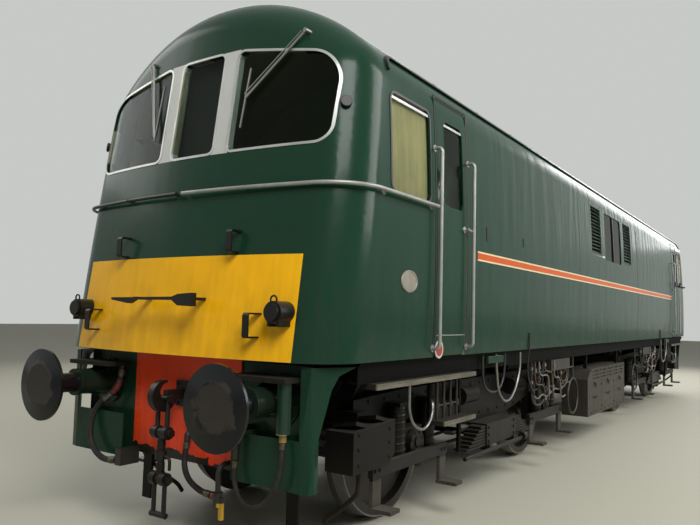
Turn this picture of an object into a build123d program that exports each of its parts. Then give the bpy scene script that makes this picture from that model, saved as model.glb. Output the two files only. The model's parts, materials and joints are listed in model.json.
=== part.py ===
from build123d import *
from math import cos, hypot, radians, sin, sqrt, tan
import os

# A four axle electric locomotive with a cab at each end, in millimetres.
# X is across, Y is along with the number 1 end at minus Y, and Z is up from the flange tips.

# Overall sizes
LENGTH = 15420
BUFFER_REACH = 610
BODY_LENGTH = LENGTH - 690
FRONT_Y = -BODY_LENGTH / 2
HALF_WIDTH = 1370
WAIST_Z = 2150
BODY_BOTTOM = 1333
CROWN_Z = 4020
WALL = 60
SEAT_GAP = 0.3

# Body cross section: nearly flat side, shoulder and roof arcs
SIDE_RADIUS = 16700
SHOULDER_RADIUS = 400
ROOF_RADIUS = 1702
GUTTER_Z = 3489

# Cab front
FRONT_RAKE = 7.75
FRONT_BOW_RADIUS = 6250
CORNER_RADIUS = 340
BULKHEAD_Y = BODY_LENGTH / 2 - 2165
FRONT_REACH = 500
BULKHEAD_THICKNESS = 40

# Windows: glass lies this far in from the outer skin
GLASS_DEPTH = 12
GLASS_THICKNESS = 8
FRAME_WIDTH = 18
FRAME_PROUD = 5
CENTRE_PANE = (430, 2760, 3510)
SIDE_WINDOW = (FRONT_Y + 780, FRONT_Y + 1350, 2500, 3190)
SIDE_WINDOW_CORNER = 60
ENGINE_WINDOW = (-600, 410, 2510, 3190)

# Cab doors
DOOR_FRONT_Y = FRONT_Y + 1455
DOOR_REAR_Y = FRONT_Y + 2015
DOOR_TOP_Z = 3350
DOOR_THICKNESS = 40
DOOR_CLEARANCE = 6
DOOR_WINDOW = (FRONT_Y + 1595, FRONT_Y + 1940, 2510, 3190)
HINGE_X = 1262
HINGE_Y = DOOR_REAR_Y + 8
HINGE_HEIGHTS = (1700, 2850)
HINGE_PIN_RADIUS = 6
HINGE_KNUCKLE_RADIUS = 14
HINGE_KNUCKLE_LENGTH = 60
PIN_CLEARANCE = 0.5

# Running gear
TREAD_RADIUS = 609.5
FLANGE_HEIGHT = 30
AXLE_Z = TREAD_RADIUS + FLANGE_HEIGHT
BOGIE_Y = 4115
WHEELBASE = 3200
BACK_TO_BACK = 1360
TYRE_WIDTH = 135
AXLE_RADIUS = 95
JOURNAL_RADIUS = 65
JOURNAL_END_X = 1060

# Underframe
FLOOR_THICKNESS = 25
FLOOR_HALF_WIDTH = 1310
SOLEBAR_X = 1245
SOLEBAR_WIDTH = 100
SOLEBAR_DEPTH = 120
SOLEBAR_WEB = 14
GIRDER_X = 450
GIRDER_WIDTH = 120
GIRDER_DEPTH = 150
HEADSTOCK_Y = LENGTH / 2 - BUFFER_REACH
HEADSTOCK_THICKNESS = 30
HEADSTOCK_HALF_WIDTH = 1110
HEADSTOCK_BOTTOM = 870
PIVOT_RADIUS = 100
PIVOT_BOTTOM = 950
BOLSTER_TOP = 1150

# Buffers and coupling
BUFFER_X = 872.5
BUFFER_Z = 1084
BUFFER_HEAD_RADIUS = 255
BUFFER_BASE_RADIUS = 175
BUFFER_FLAT_RADIUS = 150
BUFFER_RIBS = 4
HOOK_Z = 1050
HOOK_RADIUS = 108
HOOK_THROAT = 62
SCREW_TOP_Z = 800
SCREW_FOOT_Z = 490
SHACKLE_Z = 250

# Body section worked out from the three arcs, each tangent to the next


def meeting_point(first, first_radius, second, second_radius):
    span = hypot(second[0] - first[0], second[1] - first[1])
    along = (first_radius**2 - second_radius**2 + span**2) / (2 * span)
    off = sqrt(first_radius**2 - along**2)
    ux = (second[0] - first[0]) / span
    uz = (second[1] - first[1]) / span
    return (first[0] + along * ux - off * uz, first[1] + along * uz + off * ux)


def on_circle(centre, radius, through):
    reach = hypot(through[0] - centre[0], through[1] - centre[1])
    x = centre[0] + (through[0] - centre[0]) * radius / reach
    z = centre[1] + (through[1] - centre[1]) * radius / reach
    return (x, z)


SIDE_CENTRE = (HALF_WIDTH - SIDE_RADIUS, WAIST_Z)
ROOF_CENTRE = (0, CROWN_Z - ROOF_RADIUS)
SHOULDER_CENTRE = meeting_point(
    SIDE_CENTRE, SIDE_RADIUS - SHOULDER_RADIUS, ROOF_CENTRE, ROOF_RADIUS - SHOULDER_RADIUS
)


def half_width_at(z, inset=0):
    side_top = on_circle(SIDE_CENTRE, SIDE_RADIUS - inset, SHOULDER_CENTRE)[1]
    if z <= side_top:
        return SIDE_CENTRE[0] + sqrt((SIDE_RADIUS - inset) ** 2 - (z - WAIST_Z) ** 2)
    radius = SHOULDER_RADIUS - inset
    return SHOULDER_CENTRE[0] + sqrt(radius**2 - (z - SHOULDER_CENTRE[1]) ** 2)


def body_section(inset):
    side_top = on_circle(SIDE_CENTRE, SIDE_RADIUS - inset, SHOULDER_CENTRE)
    roof_edge = on_circle(ROOF_CENTRE, ROOF_RADIUS - inset, SHOULDER_CENTRE)
    chord_middle = ((side_top[0] + roof_edge[0]) / 2, (side_top[1] + roof_edge[1]) / 2)
    shoulder = on_circle(SHOULDER_CENTRE, SHOULDER_RADIUS - inset, chord_middle)
    foot = half_width_at(BODY_BOTTOM, inset)
    waist = HALF_WIDTH - inset
    edges = [
        Line((-foot, BODY_BOTTOM), (foot, BODY_BOTTOM)),
        ThreePointArc((foot, BODY_BOTTOM), (waist, WAIST_Z), side_top),
        ThreePointArc(side_top, shoulder, roof_edge),
        ThreePointArc(roof_edge, (0, CROWN_Z - inset), (-roof_edge[0], roof_edge[1])),
        ThreePointArc((-roof_edge[0], roof_edge[1]), (-shoulder[0], shoulder[1]), (-side_top[0], side_top[1])),
        ThreePointArc((-side_top[0], side_top[1]), (-waist, WAIST_Z), (-foot, BODY_BOTTOM)),
    ]
    return Plane.XZ * make_face(Wire(edges))


def front_y_at(z, outset=0):
    return FRONT_Y + tan(radians(FRONT_RAKE)) * (z - BODY_BOTTOM) - outset / cos(radians(FRONT_RAKE))


def body_prism(inset, start_y, end_y):
    return Pos(0, start_y, 0) * Solid.extrude(body_section(inset).face(), Vector(0, end_y - start_y, 0))


def block(x0, x1, y0, y1, z0, z1):
    size = Box(x1 - x0, y1 - y0, z1 - z0)
    return Pos((x0 + x1) / 2, (y0 + y1) / 2, (z0 + z1) / 2) * size


def cab_hull(inset):
    """The solid form of the number 1 cab, its skin moved in by inset."""
    prism = body_prism(inset, FRONT_Y - FRONT_REACH, -BULKHEAD_Y)
    nose = Rot(-FRONT_RAKE, 0, 0) * Cylinder(FRONT_BOW_RADIUS - inset, 3 * CROWN_Z)
    nose_y = FRONT_Y + FRONT_BOW_RADIUS / cos(radians(FRONT_RAKE))
    solid = (prism & (Pos(0, nose_y, BODY_BOTTOM) * nose)).solid()
    rim = [e for e in solid.edges() if e.center().Y < -BULKHEAD_Y - 500 and e.center().Z > BODY_BOTTOM + 10]
    return solid.fillet(CORNER_RADIUS - inset, rim)


def rounded_block_x(y0, y1, z0, z1, corner, x0=1000, x1=1500):
    shape = block(x0, x1, y0, y1, z0, z1)
    return fillet(shape.edges().filter_by(Axis.X), corner)


def turned(shape):
    """The same shape at the number 2 end."""
    return Rot(0, 0, 180) * shape


def mirrored(shape):
    """The same shape on the other side."""
    return mirror(shape, about=Plane.YZ)


def solids_of(*shapes):
    found = []
    for shape in shapes:
        found.extend(shape.solids())
    return Compound(found)


def tube(points, radius, corner):
    corners = corner if isinstance(corner, list) else [corner] * (len(points) - 2)
    path = FilletPolyline(*points, radius=corners) if len(points) > 2 else Polyline(*points)
    start = Plane(origin=path @ 0, z_dir=path % 0)
    return sweep(start * Circle(radius), path=path)


def cylinder_x(x0, x1, y, z, radius):
    return Pos((x0 + x1) / 2, y, z) * Rot(0, 90, 0) * Cylinder(radius, x1 - x0)


def cylinder_y(y0, y1, x, z, radius):
    return Pos(x, (y0 + y1) / 2, z) * Rot(90, 0, 0) * Cylinder(radius, y1 - y0)


def cylinder_z(z0, z1, x, y, radius):
    return Pos(x, y, (z0 + z1) / 2) * Cylinder(radius, z1 - z0)


HULLS = {}


def hull(inset):
    if inset not in HULLS:
        HULLS[inset] = cab_hull(inset)
    return HULLS[inset]


NODES = {}

# Cab window openings, as prisms that cut the front along Y and the sides along X


def front_windows():
    half = CENTRE_PANE[0] / 2
    centre = Polyline(
        (-half, CENTRE_PANE[1]), (half, CENTRE_PANE[1]), (half, CENTRE_PANE[2]), (-half, CENTRE_PANE[2]), close=True
    )
    centre = fillet(make_face(centre).vertices(), 45)
    outline = make_face(Polyline((350, 2762), (1165, 2762), (1190, 3370), (350, 3510), close=True))
    outer = fillet(outline.vertices().sort_by(Axis.X)[-1:], 240)
    outer = fillet(outer.vertices().group_by(Axis.Y)[0].sort_by(Axis.X)[-1:], 110)
    outer = fillet(outer.vertices().group_by(Axis.X)[0], 50)
    return [centre, outer, mirror(outer, about=Plane.YZ)]


def front_prism(outline, grow=0):
    face = offset(outline, grow) if grow else outline
    return extrude(Pos(0, FRONT_Y - FRONT_REACH, 0) * (Plane.XZ * face), amount=-3 * FRONT_REACH)


WINDOW_OUTLINES = front_windows()
WINDOW_PRISMS = [front_prism(outline) for outline in WINDOW_OUTLINES]
SIDE_WINDOW_PRISM = rounded_block_x(*SIDE_WINDOW, SIDE_WINDOW_CORNER)
DOOR_OPENING = rounded_block_x(DOOR_FRONT_Y, DOOR_REAR_Y, BODY_BOTTOM - 60, DOOR_TOP_Z, 55)
DOOR_WINDOW_PRISM = rounded_block_x(*DOOR_WINDOW, SIDE_WINDOW_CORNER)

# Cab shells with the doors' hinge ears


def hinge_ear(height):
    wall_x = half_width_at(height, WALL)
    ear = block(HINGE_X - HINGE_KNUCKLE_RADIUS, wall_x + 10, DOOR_REAR_Y, DOOR_REAR_Y + 30, height - 20, height)
    ear += cylinder_z(height - 20, height, HINGE_X, HINGE_Y, HINGE_KNUCKLE_RADIUS)
    ear += cylinder_z(height, height + HINGE_KNUCKLE_LENGTH, HINGE_X, HINGE_Y, HINGE_PIN_RADIUS)
    return ear


def cab_shell():
    shell = hull(0) - hull(WALL)
    for prism in WINDOW_PRISMS:
        shell -= prism
    for prism in (SIDE_WINDOW_PRISM, DOOR_OPENING):
        shell -= prism
        shell -= mirrored(prism)
    for height in HINGE_HEIGHTS:
        shell += hinge_ear(height)
        shell += mirrored(hinge_ear(height))
    return shell


cab = cab_shell()
NODES["cab_1"] = cab
NODES["cab_2"] = turned(cab)

# Cab doors, each a leaf with two hinge straps, and its pane


def door_leaf():
    gap = DOOR_CLEARANCE
    opening = rounded_block_x(DOOR_FRONT_Y + gap, DOOR_REAR_Y - gap, BODY_BOTTOM + gap, DOOR_TOP_Z - gap, 50)
    swing = hypot(HINGE_Y - DOOR_FRONT_Y, 0) - gap
    leaf = (hull(0) - hull(DOOR_THICKNESS)) & opening
    leaf &= cylinder_z(BODY_BOTTOM, DOOR_TOP_Z, HINGE_X, HINGE_Y, swing)
    leaf -= DOOR_WINDOW_PRISM
    for height in HINGE_HEIGHTS:
        low = height + PIN_CLEARANCE
        high = height + HINGE_KNUCKLE_LENGTH
        inner_x = half_width_at(height, DOOR_THICKNESS)
        strap_back = DOOR_REAR_Y - gap
        leaf += block(HINGE_X - HINGE_KNUCKLE_RADIUS, inner_x + 10, strap_back - 45, strap_back, low, high)
        leaf += block(HINGE_X - HINGE_KNUCKLE_RADIUS, HINGE_X, strap_back - 20, HINGE_Y, low, high)
        leaf += cylinder_z(low, high, HINGE_X, HINGE_Y, HINGE_KNUCKLE_RADIUS)
        leaf -= cylinder_z(low - 1, high + 1, HINGE_X, HINGE_Y, HINGE_PIN_RADIUS + PIN_CLEARANCE)
    return leaf


def pane(prism):
    return (hull(GLASS_DEPTH) - hull(GLASS_DEPTH + GLASS_THICKNESS)) & prism


leaf = door_leaf()
leaf_pane = pane(DOOR_WINDOW_PRISM)
NODES["door_1_right"] = leaf
NODES["door_1_left"] = mirrored(leaf)
NODES["door_2_right"] = turned(mirrored(leaf))
NODES["door_2_left"] = turned(leaf)
NODES["door_1_right_pane"] = leaf_pane
NODES["door_1_left_pane"] = mirrored(leaf_pane)
NODES["door_2_right_pane"] = turned(mirrored(leaf_pane))
NODES["door_2_left_pane"] = turned(leaf_pane)

# Body sides and roof between the bulkheads

# Louvre openings: start and end along Y, bottom and top
LOUVRES = ((-1360, -800, 2535, 3220), (570, 1150, 2535, 3220))
LOUVRE_SLATS = 13
LOUVRE_FRAME = 30
WELL_HALF_LENGTH = 1750
WELL_HALF_WIDTH = 950
WELL_FLOOR_Z = 3560
WELL_WALL = 12


def body_ring():
    return body_prism(0, -BULKHEAD_Y, BULKHEAD_Y) - body_prism(WALL, -BULKHEAD_Y - 1, BULKHEAD_Y + 1)


RING = body_ring()
ENGINE_WINDOW_PRISM = rounded_block_x(*ENGINE_WINDOW, SIDE_WINDOW_CORNER)


def side_wall():
    wall = RING & block(0, 1500, -BULKHEAD_Y, BULKHEAD_Y, BODY_BOTTOM, GUTTER_Z)
    wall -= ENGINE_WINDOW_PRISM
    for y0, y1, z0, z1 in LOUVRES:
        wall -= block(1000, 1500, y0, y1, z0, z1)
    return wall


def louvre(y0, y1, z0, z1):
    ring = block(1000, 1500, y0, y1, z0, z1)
    ring -= block(900, 1600, y0 + LOUVRE_FRAME, y1 - LOUVRE_FRAME, z0 + LOUVRE_FRAME, z1 - LOUVRE_FRAME)
    unit = RING & ring
    pitch = (z1 - z0 - 2 * LOUVRE_FRAME) / LOUVRE_SLATS
    for index in range(LOUVRE_SLATS):
        z = z0 + LOUVRE_FRAME + pitch * (index + 0.5)
        slat = Box(52, y1 - y0 - 2 * LOUVRE_FRAME + 4, 5)
        unit += Pos(half_width_at(z) - 26, (y0 + y1) / 2, z) * Rot(0, 40, 0) * slat
    return unit


side = side_wall()
NODES["side_right"] = side
NODES["side_left"] = turned(side)
louvre_units = [louvre(*place) for place in LOUVRES]
NODES["louvres"] = solids_of(*louvre_units, *[turned(unit) for unit in louvre_units])

roof_band = RING & block(-1500, 1500, -BULKHEAD_Y, BULKHEAD_Y, GUTTER_Z, CROWN_Z + 10)
roof_end = roof_band & block(-1500, 1500, -BULKHEAD_Y, -WELL_HALF_LENGTH, GUTTER_Z, CROWN_Z + 10)
NODES["roof"] = solids_of(roof_end, turned(roof_end))


def roof_well():
    sides = roof_band & block(-1500, 1500, -WELL_HALF_LENGTH, WELL_HALF_LENGTH, GUTTER_Z, CROWN_Z + 10)
    y = WELL_HALF_LENGTH
    sides -= block(-WELL_HALF_WIDTH, WELL_HALF_WIDTH, -y - 1, y + 1, GUTTER_Z - 1, CROWN_Z + 20)
    tray = block(-WELL_HALF_WIDTH - WELL_WALL, WELL_HALF_WIDTH + WELL_WALL, -y, y, WELL_FLOOR_Z - WELL_WALL, CROWN_Z)
    tray -= block(-WELL_HALF_WIDTH, WELL_HALF_WIDTH, -y + WELL_WALL, y - WELL_WALL, WELL_FLOOR_Z, CROWN_Z + 10)
    return (tray & body_prism(0, -y, y)) + sides


NODES["roof_well"] = roof_well()

# Bulkheads behind the doors


def bulkhead():
    return body_prism(WALL + SEAT_GAP, -BULKHEAD_Y, -BULKHEAD_Y + BULKHEAD_THICKNESS)


NODES["bulkheads"] = solids_of(bulkhead(), turned(bulkhead()))

# Fixed glass and window frames

cab_panes = [pane(prism) for prism in WINDOW_PRISMS]
cab_panes += [pane(SIDE_WINDOW_PRISM), mirrored(pane(SIDE_WINDOW_PRISM))]


def engine_pane():
    outer = body_prism(GLASS_DEPTH, -700, 700)
    inner = body_prism(GLASS_DEPTH + GLASS_THICKNESS, -701, 701)
    return (outer - inner) & ENGINE_WINDOW_PRISM


NODES["glass"] = solids_of(
    *cab_panes, *[turned(item) for item in cab_panes], engine_pane(), turned(engine_pane())
)


def frame_ring(outer_prism, inner_prism):
    return (hull(-FRAME_PROUD) - hull(-SEAT_GAP)) & (outer_prism - inner_prism)


def grown_side_window(box, corner):
    y0, y1, z0, z1 = box
    grow = FRAME_WIDTH
    return rounded_block_x(y0 - grow, y1 + grow, z0 - grow, z1 + grow, corner + grow)


frames = [
    frame_ring(front_prism(outline, FRAME_WIDTH), prism)
    for outline, prism in zip(WINDOW_OUTLINES, WINDOW_PRISMS)
]
side_frame = frame_ring(grown_side_window(SIDE_WINDOW, SIDE_WINDOW_CORNER), SIDE_WINDOW_PRISM)
frames += [side_frame, mirrored(side_frame)]
NODES["window_frames"] = solids_of(*frames, *[turned(item) for item in frames])

# Gutter strips along both sides

GUTTER_PROUD = 17
GUTTER_HALF = 13
GUTTER_END_Y = -FRONT_Y - 915
GUTTER_BEND = 140


def gutter():
    """A strip under the roof's edge, turned down in a quarter bend at each end."""
    strip = block(1000, 1500, -GUTTER_END_Y, GUTTER_END_Y, GUTTER_Z - GUTTER_HALF, GUTTER_Z + GUTTER_HALF)
    centre_z = GUTTER_Z - GUTTER_BEND
    bend = cylinder_x(1000, 1500, GUTTER_END_Y, centre_z, GUTTER_BEND + GUTTER_HALF)
    bend -= cylinder_x(900, 1600, GUTTER_END_Y, centre_z, GUTTER_BEND - GUTTER_HALF)
    bend &= block(1000, 1500, GUTTER_END_Y, GUTTER_END_Y + 300, centre_z, GUTTER_Z + 100)
    strip += bend
    strip += mirror(bend, about=Plane.XZ)
    reach = GUTTER_END_Y + 300
    return (strip & body_prism(-GUTTER_PROUD, -reach, reach)) - body_prism(-SEAT_GAP, -reach - 1, reach + 1)


NODES["gutters"] = solids_of(gutter(), mirrored(gutter()))

# Handrails

RAIL_RADIUS = 14
RAIL_OUT = 48
WAIST_RAIL_Z = 2470
WAIST_RAIL_END_Y = DOOR_FRONT_Y - 57
WAIST_POST_YS = (FRONT_Y + 665, WAIST_RAIL_END_Y - 43)
DOOR_RAIL_YS = (DOOR_FRONT_Y - 25, DOOR_REAR_Y + 20)
DOOR_RAIL_Z = (1400, 2930)


def waist_rail():
    z = WAIST_RAIL_Z
    y = front_y_at(z, RAIL_OUT)
    x = HALF_WIDTH + RAIL_OUT - 8
    points = ((30, y, z), (560, y + 25, z), (x, y + 165, z), (x, WAIST_RAIL_END_Y, z))
    rail = tube(points, RAIL_RADIUS, [5600, 370])
    for post_x in (60, 620, 1060):
        rail += cylinder_y(y - 10 + 0.00008 * post_x**2 * 1.2, y + 260, post_x, z, 10)
    for post_y in WAIST_POST_YS:
        rail += cylinder_x(1300, x, post_y, z, 10)
    return rail - hull(-SEAT_GAP)


def door_rail(y):
    z0, z1 = DOOR_RAIL_Z
    x = HALF_WIDTH + RAIL_OUT
    rail = tube(((1300, y, z0), (x, y, z0), (x, y, z1), (1300, y, z1)), RAIL_RADIUS, 35)
    return rail - hull(-SEAT_GAP)


rails = [waist_rail()] + [door_rail(y) for y in DOOR_RAIL_YS]
rails += [mirrored(rail) for rail in rails]
NODES["handrails"] = solids_of(*rails, *[turned(rail) for rail in rails])

# Fittings on the cab front: lamp irons, sockets and a step bar

LAMP_IRONS = ((567, 2025, 2180), (808, 1475, 1635))
LAMP_IRON_HALF = 24
LAMP_IRON_OUT = 50
LAMP_IRON_THICKNESS = 11
SOCKET_X = 1000
SOCKET_Z = 1640
SOCKET_RADIUS = 70
STEP_BAR_HALF = 410
STEP_BAR_Z = 1710
STEP_BAR_POSTS = (-190, 340)


def lamp_iron(x, z0, z1):
    y = front_y_at(z0, LAMP_IRON_OUT)
    strap = block(x - LAMP_IRON_HALF, x + LAMP_IRON_HALF, y, y + 300, z0, z1)
    outer = strap.edges().filter_by(Axis.X).group_by(Axis.Y)[0]
    strap = fillet(outer, 22)
    t = LAMP_IRON_THICKNESS
    strap -= block(x - LAMP_IRON_HALF - 1, x + LAMP_IRON_HALF + 1, y + t, y + 400, z0 + t, z1 - t)
    return strap - hull(-SEAT_GAP)


def socket():
    y = front_y_at(SOCKET_Z, 0)
    body = cylinder_y(y - 40, y + 150, SOCKET_X, SOCKET_Z, SOCKET_RADIUS)
    body += cylinder_y(y - 60, y - 40, SOCKET_X, SOCKET_Z, SOCKET_RADIUS - 15)
    ring = Pos(SOCKET_X, y - 30, SOCKET_Z + SOCKET_RADIUS + 8) * Rot(90, 0, 0) * Torus(24, 6)
    body += ring
    for shift in (-38, 38):
        body += block(SOCKET_X + shift - 9, SOCKET_X + shift + 9, y - 30, y + 150, SOCKET_Z - 88, SOCKET_Z - 30)
    return body - hull(-SEAT_GAP)


def step_bar():
    y = front_y_at(STEP_BAR_Z, 0)
    half = STEP_BAR_HALF
    z = STEP_BAR_Z
    outline = Polyline(
        (-half, z - 6), (-half + 180, z - 30), (-half + 240, z - 4), (half - 190, z - 4), (half - 130, z - 40),
        (half, z - 44), (half, z + 44), (half - 130, z + 36), (half - 190, z + 18), (-half, z + 10), close=True
    )
    bar = extrude(Pos(0, y - 120, 0) * (Plane.XZ * make_face(outline)), amount=45)
    for x in STEP_BAR_POSTS:
        bar += block(x - 22, x + 22, y - 130, y + 60, z - 3, z + 17)
    return bar - hull(-SEAT_GAP)


fittings = [lamp_iron(*place) for place in LAMP_IRONS] + [socket()]
fittings += [mirrored(item) for item in fittings] + [step_bar()]
NODES["front_fittings"] = solids_of(*fittings, *[turned(item) for item in fittings])

# Wipers: an arm and blade lying on each outer windscreen

WIPER_RADIUS = 9


def wiper(pivot_x, pivot_z, tip_x, tip_z):
    out = 20
    pivot_y = front_y_at(pivot_z, out) + 0.00008 * pivot_x**2
    tip_y = front_y_at(tip_z, out) + 0.00008 * tip_x**2
    arm = tube(((pivot_x, pivot_y, pivot_z), (tip_x, tip_y, tip_z)), WIPER_RADIUS, 0)
    arm += cylinder_y(pivot_y - 12, pivot_y + 120, pivot_x, pivot_z, 16)
    return arm - hull(-SEAT_GAP)


wipers = [wiper(915, 3560, 480, 3130), wiper(-610, 3600, -440, 2960)]
NODES["wipers"] = solids_of(*wipers, *[turned(item) for item in wipers])

# Underframe: floor, solebars, girders, cross members, headstocks, pivots and hangers

FLOOR_BOTTOM = BODY_BOTTOM - FLOOR_THICKNESS
FLOOR_END_Y = HEADSTOCK_Y - HEADSTOCK_THICKNESS
SOLEBAR_END_Y = HEADSTOCK_Y - 250
CROSS_MEMBER_YS = (700, 1600, BOGIE_Y - 795, BOGIE_Y + 815, HEADSTOCK_Y - 600)
STEP_HANGERS = ((DOOR_REAR_Y - 350, 780), (DOOR_REAR_Y + 195, 500))
STEP_HANGER_X = (1205, 1230)
PLANK_BRACKET_XS = (700, 1070)
PLANK_BRACKET_END_Y = -HEADSTOCK_Y - 105
FLOOR_CORNER = 250
CORNER_PLANK_BOTTOM = 1210
BATTERY_Y = (-1450, 700)
BATTERY_X = (990, 1330)
BATTERY_Z = (390, 1000)
BATTERY_HANGER_YS = (-1250, 500)


def channel(x, web_side):
    """A solebar with its web on the outer or inner side."""
    half = SOLEBAR_WIDTH / 2
    low = FLOOR_BOTTOM - SOLEBAR_DEPTH
    bar = block(x - half, x + half, -SOLEBAR_END_Y, SOLEBAR_END_Y, low, FLOOR_BOTTOM)
    shift = -web_side * SOLEBAR_WEB
    y = SOLEBAR_END_Y + 1
    inside = (low + SOLEBAR_WEB, FLOOR_BOTTOM - SOLEBAR_WEB)
    return bar - block(x - half + shift, x + half + shift, -y, y, *inside)


def underframe():
    frame = block(-FLOOR_HALF_WIDTH, FLOOR_HALF_WIDTH, -FLOOR_END_Y, FLOOR_END_Y, FLOOR_BOTTOM, BODY_BOTTOM)
    for x in (1150, -1150 - FLOOR_CORNER):
        for y in (-HEADSTOCK_Y, HEADSTOCK_Y - FLOOR_CORNER):
            frame -= block(x, x + FLOOR_CORNER, y, y + FLOOR_CORNER, FLOOR_BOTTOM - 100, BODY_BOTTOM + 60)
    frame += channel(SOLEBAR_X, 1)
    frame += channel(-SOLEBAR_X, -1)
    girder_low = FLOOR_BOTTOM - GIRDER_DEPTH
    for x in (-GIRDER_X, GIRDER_X):
        half = GIRDER_WIDTH / 2
        frame += block(x - half, x + half, -FLOOR_END_Y, FLOOR_END_Y, girder_low, FLOOR_BOTTOM)
    low = FLOOR_BOTTOM - SOLEBAR_DEPTH
    reach = SOLEBAR_X - SOLEBAR_WIDTH / 2 + SOLEBAR_WEB
    for y in CROSS_MEMBER_YS:
        for place in (y, -y):
            frame += block(-reach, reach, place - 12, place + 12, low, FLOOR_BOTTOM)
    for sign in (-1, 1):
        y = sign * BOGIE_Y
        frame += block(-reach, reach, y - 220, y + 220, low, FLOOR_BOTTOM)
        frame += cylinder_z(BOLSTER_TOP + SEAT_GAP, low, 0, y, 300)
        frame += cylinder_z(PIVOT_BOTTOM, BOLSTER_TOP + 10, 0, y, PIVOT_RADIUS)
        edge = sign * HEADSTOCK_Y
        inner = sign * (HEADSTOCK_Y - HEADSTOCK_THICKNESS)
        y0, y1 = sorted((edge, inner))
        wide = HEADSTOCK_HALF_WIDTH
        frame += block(-wide, wide, y0, y1, HEADSTOCK_BOTTOM, FLOOR_BOTTOM + 15)
        for x in (-GIRDER_X, GIRDER_X):
            y0, y1 = sorted((inner, inner - sign * 250))
            frame += block(x - 10, x + 10, y0, y1, HEADSTOCK_BOTTOM + 40, girder_low)
    for place in BATTERY_HANGER_YS:
        for x, y in ((SOLEBAR_X, place), (-SOLEBAR_X, -place)):
            frame += block(x - 20, x + 20, y - 25, y + 25, BATTERY_Z[1], low)
    hangers = []
    for y, bottom in STEP_HANGERS:
        hangers.append(block(*STEP_HANGER_X, y - 20, y + 20, bottom, low + 1))
    for x in PLANK_BRACKET_XS:
        top = CORNER_PLANK_BOTTOM - SEAT_GAP
        hangers.append(block(x - 15, x + 15, PLANK_BRACKET_END_Y, -HEADSTOCK_Y, top - 15, top))
    for item in hangers:
        for piece in (item, mirrored(item)):
            frame += piece
            frame += turned(piece)
    return frame


NODES["underframe"] = underframe()

# Battery boxes, with a sloped shoulder at one end and slots near the top

BATTERY_SLOTS_Z = (860, 905, 950)


def battery_box():
    y0, y1 = BATTERY_Y
    z0, z1 = BATTERY_Z
    x0, x1 = BATTERY_X
    side = make_face(Polyline((y0, z0), (y1, z0), (y1, z1), (y0 + 160, z1), (y0, z1 - 130), close=True))
    box = extrude(Pos(x0, 0, 0) * (Plane.YZ * side), amount=x1 - x0)
    for z in BATTERY_SLOTS_Z:
        for index in range(5):
            y = y0 + 230 + index * 370
            box -= block(x1 - 15, x1 + 5, y, y + 320, z, z + 18)
    for y in (-720, 0):
        box -= block(x1 - 6, x1 + 5, y - 5, y + 5, z0 + 20, z1 - 150)
    return box


NODES["battery_boxes"] = solids_of(battery_box(), turned(battery_box()))

# Red panel on each buffer beam

PANEL_HALF = 540
PANEL_Z = (580, 1270)
PANEL_THICKNESS = 25


def beam_panel():
    return block(-PANEL_HALF, PANEL_HALF, -HEADSTOCK_Y - PANEL_THICKNESS, -HEADSTOCK_Y, *PANEL_Z)


NODES["beam_panels"] = solids_of(beam_panel(), turned(beam_panel()))

# Cowls at the four lower corners, folded plate with an apron

COWL_THICKNESS = 10
COWL_BOTTOM = 550
COWL_APRON_TOP = 860
WING_X = (PANEL_HALF + 2, HEADSTOCK_HALF_WIDTH)
# What is cut away behind the corner plate, as seen from the side: distance in from the headstock, and z
COWL_REAR_EDGE = ((300, 1400), (185, 1312), (70, 1254), (25, 1167), (-126, 560), (-126, 500), (300, 500))
COWL_FRONT_Y = -HEADSTOCK_Y - 115


def cowl():
    t = COWL_THICKNESS
    y = COWL_FRONT_Y
    outer = [(1120, y), (1190, y + 15), (1335, y + 300)]
    inner = [(1335 - t * 1.2, y + 300), (1185 - t, y + 20 + t), (1120, y + t)]
    corner = extrude(make_face(Polyline(*outer, *inner, close=True)), amount=FLOOR_BOTTOM - SEAT_GAP - COWL_BOTTOM)
    corner = Pos(0, 0, COWL_BOTTOM) * corner
    rear = make_face(Polyline(*[(depth - HEADSTOCK_Y, z) for depth, z in COWL_REAR_EDGE], close=True))
    corner -= extrude(Pos(1205, 0, 0) * (Plane.YZ * rear), amount=300)
    back = -HEADSTOCK_Y - SEAT_GAP
    apron = block(560, 1130, y, y + t, COWL_BOTTOM, COWL_APRON_TOP)
    floor = block(560, 1130, y, back, COWL_BOTTOM, COWL_BOTTOM + t)
    wing = block(WING_X[0], WING_X[1], back - t, back, COWL_BOTTOM, FLOOR_BOTTOM - SEAT_GAP)
    wing -= cylinder_y(back - 60, back + 60, BUFFER_X, BUFFER_Z, BUFFER_BASE_RADIUS + SEAT_GAP)
    for x in PLANK_BRACKET_XS:
        wing -= block(x - 16, x + 16, back - 60, back + 60, CORNER_PLANK_BOTTOM - 16, CORNER_PLANK_BOTTOM)
    return corner + apron + floor + wing


cowl_shape = cowl()
cowls = [cowl_shape, mirrored(cowl_shape)]
NODES["cowls"] = solids_of(*cowls, *[turned(item) for item in cowls])

# Timber steps: a plank behind each buffer, and an upper and lower one below each door

# Planks: x range, y range, top and thickness
UNDER_SOLEBAR = FLOOR_BOTTOM - SOLEBAR_DEPTH - SEAT_GAP
LOWER_STEP_TOP = 830
UPPER_STEP_THICKNESS = 38
TIMBER_STEPS = (
    (600, 1090, -HEADSTOCK_Y - 230, -HEADSTOCK_Y - 30, CORNER_PLANK_BOTTOM + 30, 30),
    (STEP_HANGER_X[1] + SEAT_GAP, 1365, FRONT_Y + 645, DOOR_REAR_Y + 215, UNDER_SOLEBAR, UPPER_STEP_THICKNESS),
    (STEP_HANGER_X[1] + SEAT_GAP, 1365, DOOR_REAR_Y - 370, DOOR_REAR_Y + 215, LOWER_STEP_TOP, 35),
)


def timber(x0, x1, y0, y1, top, thick):
    return block(x0, x1, y0, y1, top - thick, top)


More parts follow.
